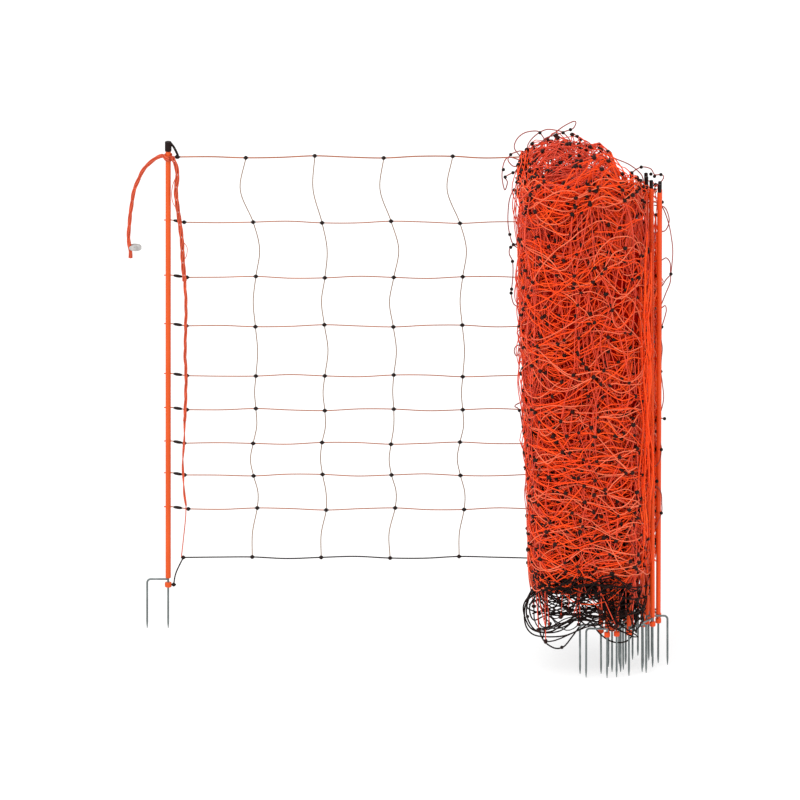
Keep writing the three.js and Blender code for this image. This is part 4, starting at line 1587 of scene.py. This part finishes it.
@dataclass
class LooseLoops:
    """Strands that hang out of the bundle, each with its knots."""

    shop: Workshop
    pattern: NetPattern
    loop_d: float = 0.0027
    black_loop_d: float = 0.0034
    orange: tuple[tuple[tuple[float, float, float], ...], ...] = tuple(
        tuple((x * MM, y * MM, z * MM) for x, y, z in line)
        for line in (
            (
                (1046, -330, 1052), (1066, -330, 1054), (1082, -330, 1043), (1095, -330, 1009), (1102, -330, 974), (1105, -330, 939),
                (1101, -330, 891), (1099, -330, 871), (1090, -330, 848), (1082, -330, 827), (1073, -330, 805), (1051, -330, 791),
            ),
            (
                (1051, -330, 982), (1080, -330, 987), (1090, -330, 991), (1097, -330, 1009), (1095, -330, 1026), (1086, -330, 1043),
                (1064, -330, 1047),
            ),
            (
                (1051, -330, 918), (1080, -330, 922), (1090, -330, 928), (1099, -330, 917), (1100, -330, 895),
            ),
            (
                (1051, -330, 852), (1078, -330, 861), (1090, -330, 878), (1100, -330, 889),
            ),
            (
                (1051, -330, 807), (1080, -330, 814), (1088, -330, 820), (1091, -330, 809), (1086, -330, 788), (1081, -330, 771),
                (1079, -330, 749), (1082, -330, 723), (1080, -330, 697), (1079, -330, 670), (1082, -330, 645), (1085, -330, 610),
                (1079, -330, 580), (1071, -330, 567), (1087, -330, 563),
            ),
            (
                (1055, -330, 560), (1073, -330, 543), (1078, -330, 509), (1080, -330, 493), (1075, -330, 465), (1057, -330, 447),
            ),
            (
                (1051, -330, 406), (1068, -330, 410), (1079, -330, 396), (1081, -330, 370), (1080, -330, 349), (1066, -330, 315),
                (1046, -330, 302),
            ),
            (
                (770, -40, 1072), (746, -40, 1078), (735, -40, 1065), (731, -40, 1034), (737, -40, 1004), (743, -40, 1022),
                (738, -40, 1033), (755, -40, 1043), (773, -40, 1049),
            ),
            (
                (796, -40, 1078), (775, -40, 1092), (757, -40, 1088), (750, -40, 1084), (744, -40, 1072), (755, -40, 1058), (770, -40, 1058),
            ),
            (
                (770, -40, 990), (758, -40, 1004), (749, -40, 988), (745, -40, 965), (744, -40, 931), (748, -40, 903),
                (756, -40, 880), (773, -40, 868),
            ),
            (
                (770, -40, 883), (750, -40, 874), (747, -40, 859), (754, -40, 842), (755, -40, 811), (752, -40, 779),
                (751, -40, 770), (757, -40, 745), (775, -40, 736),
            ),
            (
                (784, -40, 655), (762, -40, 650), (758, -40, 636), (764, -40, 627), (770, -40, 645), (788, -40, 641),
            ),
            (
                (788, -40, 528), (765, -40, 519), (759, -40, 513), (769, -40, 505), (775, -40, 473), (779, -40, 444),
                (797, -40, 423),
            ),
            (
                (770, -60, 1086), (758, -60, 1105), (764, -60, 1125), (781, -60, 1139), (804, -60, 1143), (814, -60, 1139),
                (827, -60, 1120),
            ),
            (
                (792, -60, 1086), (787, -60, 1109), (802, -60, 1131), (827, -60, 1146), (852, -60, 1144), (865, -60, 1139),
                (880, -60, 1122), (889, -60, 1100),
            ),
            (
                (792, -60, 1095), (810, -60, 1113), (844, -60, 1137), (865, -60, 1153), (888, -60, 1165), (893, -60, 1161),
                (888, -60, 1150), (881, -60, 1146), (869, -60, 1142), (850, -60, 1134), (827, -60, 1127), (810, -60, 1109),
            ),
            (
                (940, -250, 1136), (959, -250, 1144), (978, -250, 1132), (1011, -250, 1117), (1036, -250, 1095), (1042, -250, 1073),
            ),
            (
                (994, -250, 1078), (1015, -250, 1099), (1036, -250, 1112), (1057, -250, 1108), (1065, -250, 1095), (1079, -250, 1095),
                (1085, -250, 1091), (1082, -250, 1082), (1068, -250, 1069),
            ),
        )
    )
    knots: tuple[tuple[float, float, float], ...] = tuple(
        (x * MM, y * MM, z * MM)
        for x, y, z in (
            (1101, -330, 891), (1081, -330, 771), (1079, -330, 670), (1071, -330, 567), (1087, -330, 563),
            (1080, -330, 493), (1070, -330, 421), (1065, -330, 408), (1080, -330, 349), (1065, -330, 280),
            (1082, -330, 1054), (734, -40, 1050), (738, -40, 1033), (755, -40, 1043), (770, -40, 1058),
            (750, -40, 1084), (758, -40, 1004), (748, -40, 903), (756, -40, 880), (750, -40, 874),
            (754, -40, 842), (752, -40, 779), (751, -40, 770), (769, -40, 504), (814, -60, 1139),
            (865, -60, 1139), (881, -60, 1146), (850, -60, 1134), (1079, -250, 1095), (1057, -250, 1096),
            (1065, -250, 1091), (1036, -250, 1112), (813, -386, 136), (878, -388, 118), (812, -388, 97),
            (911, -390, 160), (787, -388, 130), (862, -384, 59),
        )
    )
    black: tuple[tuple[tuple[float, float, float], ...], ...] = tuple(
        tuple((x * MM, y * MM, z * MM) for x, y, z in line)
        for line in (
            ((812, -366, 186), (786, -380, 162), (780, -382, 134), (784, -384, 106), (800, -384, 88), (830, -384, 83), (870, -384, 86), (905, -384, 102), (930, -384, 122)),
            ((812, -384, 97), (824, -386, 73), (846, -386, 58), (866, -386, 61), (884, -386, 83), (900, -384, 105)),
            ((812, -366, 190), (784, -380, 166), (778, -380, 140), (792, -382, 104), (820, -382, 92), (858, -382, 96), (890, -382, 120), (915, -380, 140)),
            ((930, -400, 116), (944, -400, 96), (964, -400, 80), (985, -400, 74), (1008, -400, 80), (1020, -400, 104), (1024, -400, 140)),
            ((815, -360, 180), (792, -370, 150), (800, -372, 118), (830, -372, 128), (860, -372, 110), (900, -372, 128), (935, -372, 108), (960, -372, 125)),
            ((800, -380, 196), (786, -386, 168), (788, -386, 148), (819, -386, 137), (854, -386, 132), (897, -386, 137), (935, -386, 139)),
            ((796, -380, 190), (785, -388, 150), (788, -388, 123), (806, -388, 98), (838, -388, 96), (865, -388, 112), (897, -388, 126), (940, -388, 118)),
            ((797, -390, 137), (832, -390, 148), (876, -390, 160), (913, -390, 160), (945, -390, 150)),
            ((790, -392, 158), (815, -392, 170), (850, -392, 156), (885, -392, 148), (925, -392, 128), (950, -392, 132)),
        )
    )

    def build(self) -> None:
        """Makes the loops and their knots."""
        lines = [smooth_line(line, 0.004) for line in self.orange]
        mesh = self.shop.lines_mesh(lines, self.loop_d, 1)
        self.shop.finish_piece(mesh, "loose_loops", Role.ORANGE_TWINE, ["folded_netting"], "loop")
        lines = [smooth_line(line, 0.004) for line in self.black]
        mesh = self.shop.lines_mesh(lines, self.black_loop_d, 1)
        self.shop.finish_piece(mesh, "loose_ground_loops", Role.BLACK_TWINE, ["folded_ground_strand"])
        bead = bmesh.new()
        bmesh.ops.create_icosphere(bead, subdivisions=2, radius=0.0040)
        places = np.array(self.knots)
        turns = np.repeat(np.eye(3)[None], len(places), axis=0)
        mesh = self.shop.scattered_mesh(bead, places, turns, np.ones(len(places)))
        self.shop.finish_piece(mesh, "loose_knots", Role.BLACK_PLASTIC, ["folded_netting"])


@dataclass
class Studio:
    """A pale floor, soft light and the camera at the photograph's angle."""

    origin: Vector
    elevation: float = 15.0
    metres_a_pixel: float = 0.00219
    picture_side: int = 800
    end_post_u: float = 168.2
    tips_v: float = 628.0
    distance: float = 6.0

    def build_camera(self) -> None:
        """Places the camera, without perspective, as the photograph was taken from afar."""
        lift = math.radians(self.elevation)
        middle = self.picture_side / 2
        x = (middle - self.end_post_u) * self.metres_a_pixel
        z = (self.tips_v - middle) * self.metres_a_pixel / math.cos(lift)
        target = self.origin + Vector((x, 0.0, z))
        back = Vector((0.0, -math.cos(lift), math.sin(lift)))
        data = bpy.data.cameras.new("camera")
        data.type = "ORTHO"
        data.ortho_scale = self.metres_a_pixel * self.picture_side
        camera = bpy.data.objects.new("camera", data)
        camera.location = target + back * self.distance
        camera.rotation_euler = (-back).to_track_quat("-Z", "Y").to_euler()
        bpy.context.scene.collection.objects.link(camera)
        bpy.context.scene.camera = camera

    def build_floor(self) -> None:
        """Makes the pale floor."""
        shape = bmesh.new()
        bmesh.ops.create_grid(shape, x_segments=1, y_segments=1, size=40.0)
        mesh = bpy.data.meshes.new("floor")
        shape.to_mesh(mesh)
        shape.free()
        material = bpy.data.materials.new("pale_floor")
        material.use_nodes = True
        shader = material.node_tree.nodes["Principled BSDF"]
        shader.inputs["Base Color"].default_value = (0.36, 0.36, 0.36, 1.0)
        shader.inputs["Roughness"].default_value = 0.9
        shader.inputs["Specular IOR Level"].default_value = 0.1
        shader.inputs["Emission Color"].default_value = (1.0, 1.0, 1.0, 1.0)
        shader.inputs["Emission Strength"].default_value = 0.66
        mesh.materials.append(material)
        floor = bpy.data.objects.new("floor", mesh)
        bpy.context.scene.collection.objects.link(floor)

    def build_light(self) -> None:
        """Sets the sky and one soft lamp."""
        scene = bpy.context.scene
        world = bpy.data.worlds.new("studio")
        world.use_nodes = True
        background = world.node_tree.nodes["Background"]
        background.inputs["Color"].default_value = (1.0, 1.0, 1.0, 1.0)
        background.inputs["Strength"].default_value = 1.10
        scene.world = world
        sun = bpy.data.lights.new("soft_lamp", "SUN")
        sun.energy = 1.4
        sun.angle = math.radians(50)
        lamp = bpy.data.objects.new("soft_lamp", sun)
        lamp.rotation_euler = (math.radians(42), math.radians(-14), math.radians(-12))
        scene.collection.objects.link(lamp)
        scene.view_settings.view_transform = "Standard"


def main() -> None:
    """Builds every sub-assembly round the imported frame."""
    logging.basicConfig(level=logging.INFO, format="%(message)s")
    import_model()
    origin = net_origin()
    studio = Studio(origin)
    studio.build_camera()
    shop = Workshop(origin)
    shop.prepare()
    pattern = NetPattern()
    lead = Lead(shop, pattern)
    lead.build_tail()
    lead.build_edge()
    EndPost(shop, PostPlace((0.0, 0.0), 180.0)).build()
    for number, place in enumerate(BUNDLED_PLACES, start=1):
        BundledPost(shop, place, number=number).build()
    SpreadNet(shop, pattern).build()
    Sleeves(shop, pattern).build()
    FoldedNet(shop, pattern).build()
    LooseLoops(shop, pattern).build()
    studio.build_floor()
    studio.build_light()
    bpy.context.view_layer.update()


if __name__ == "__main__":
    main()
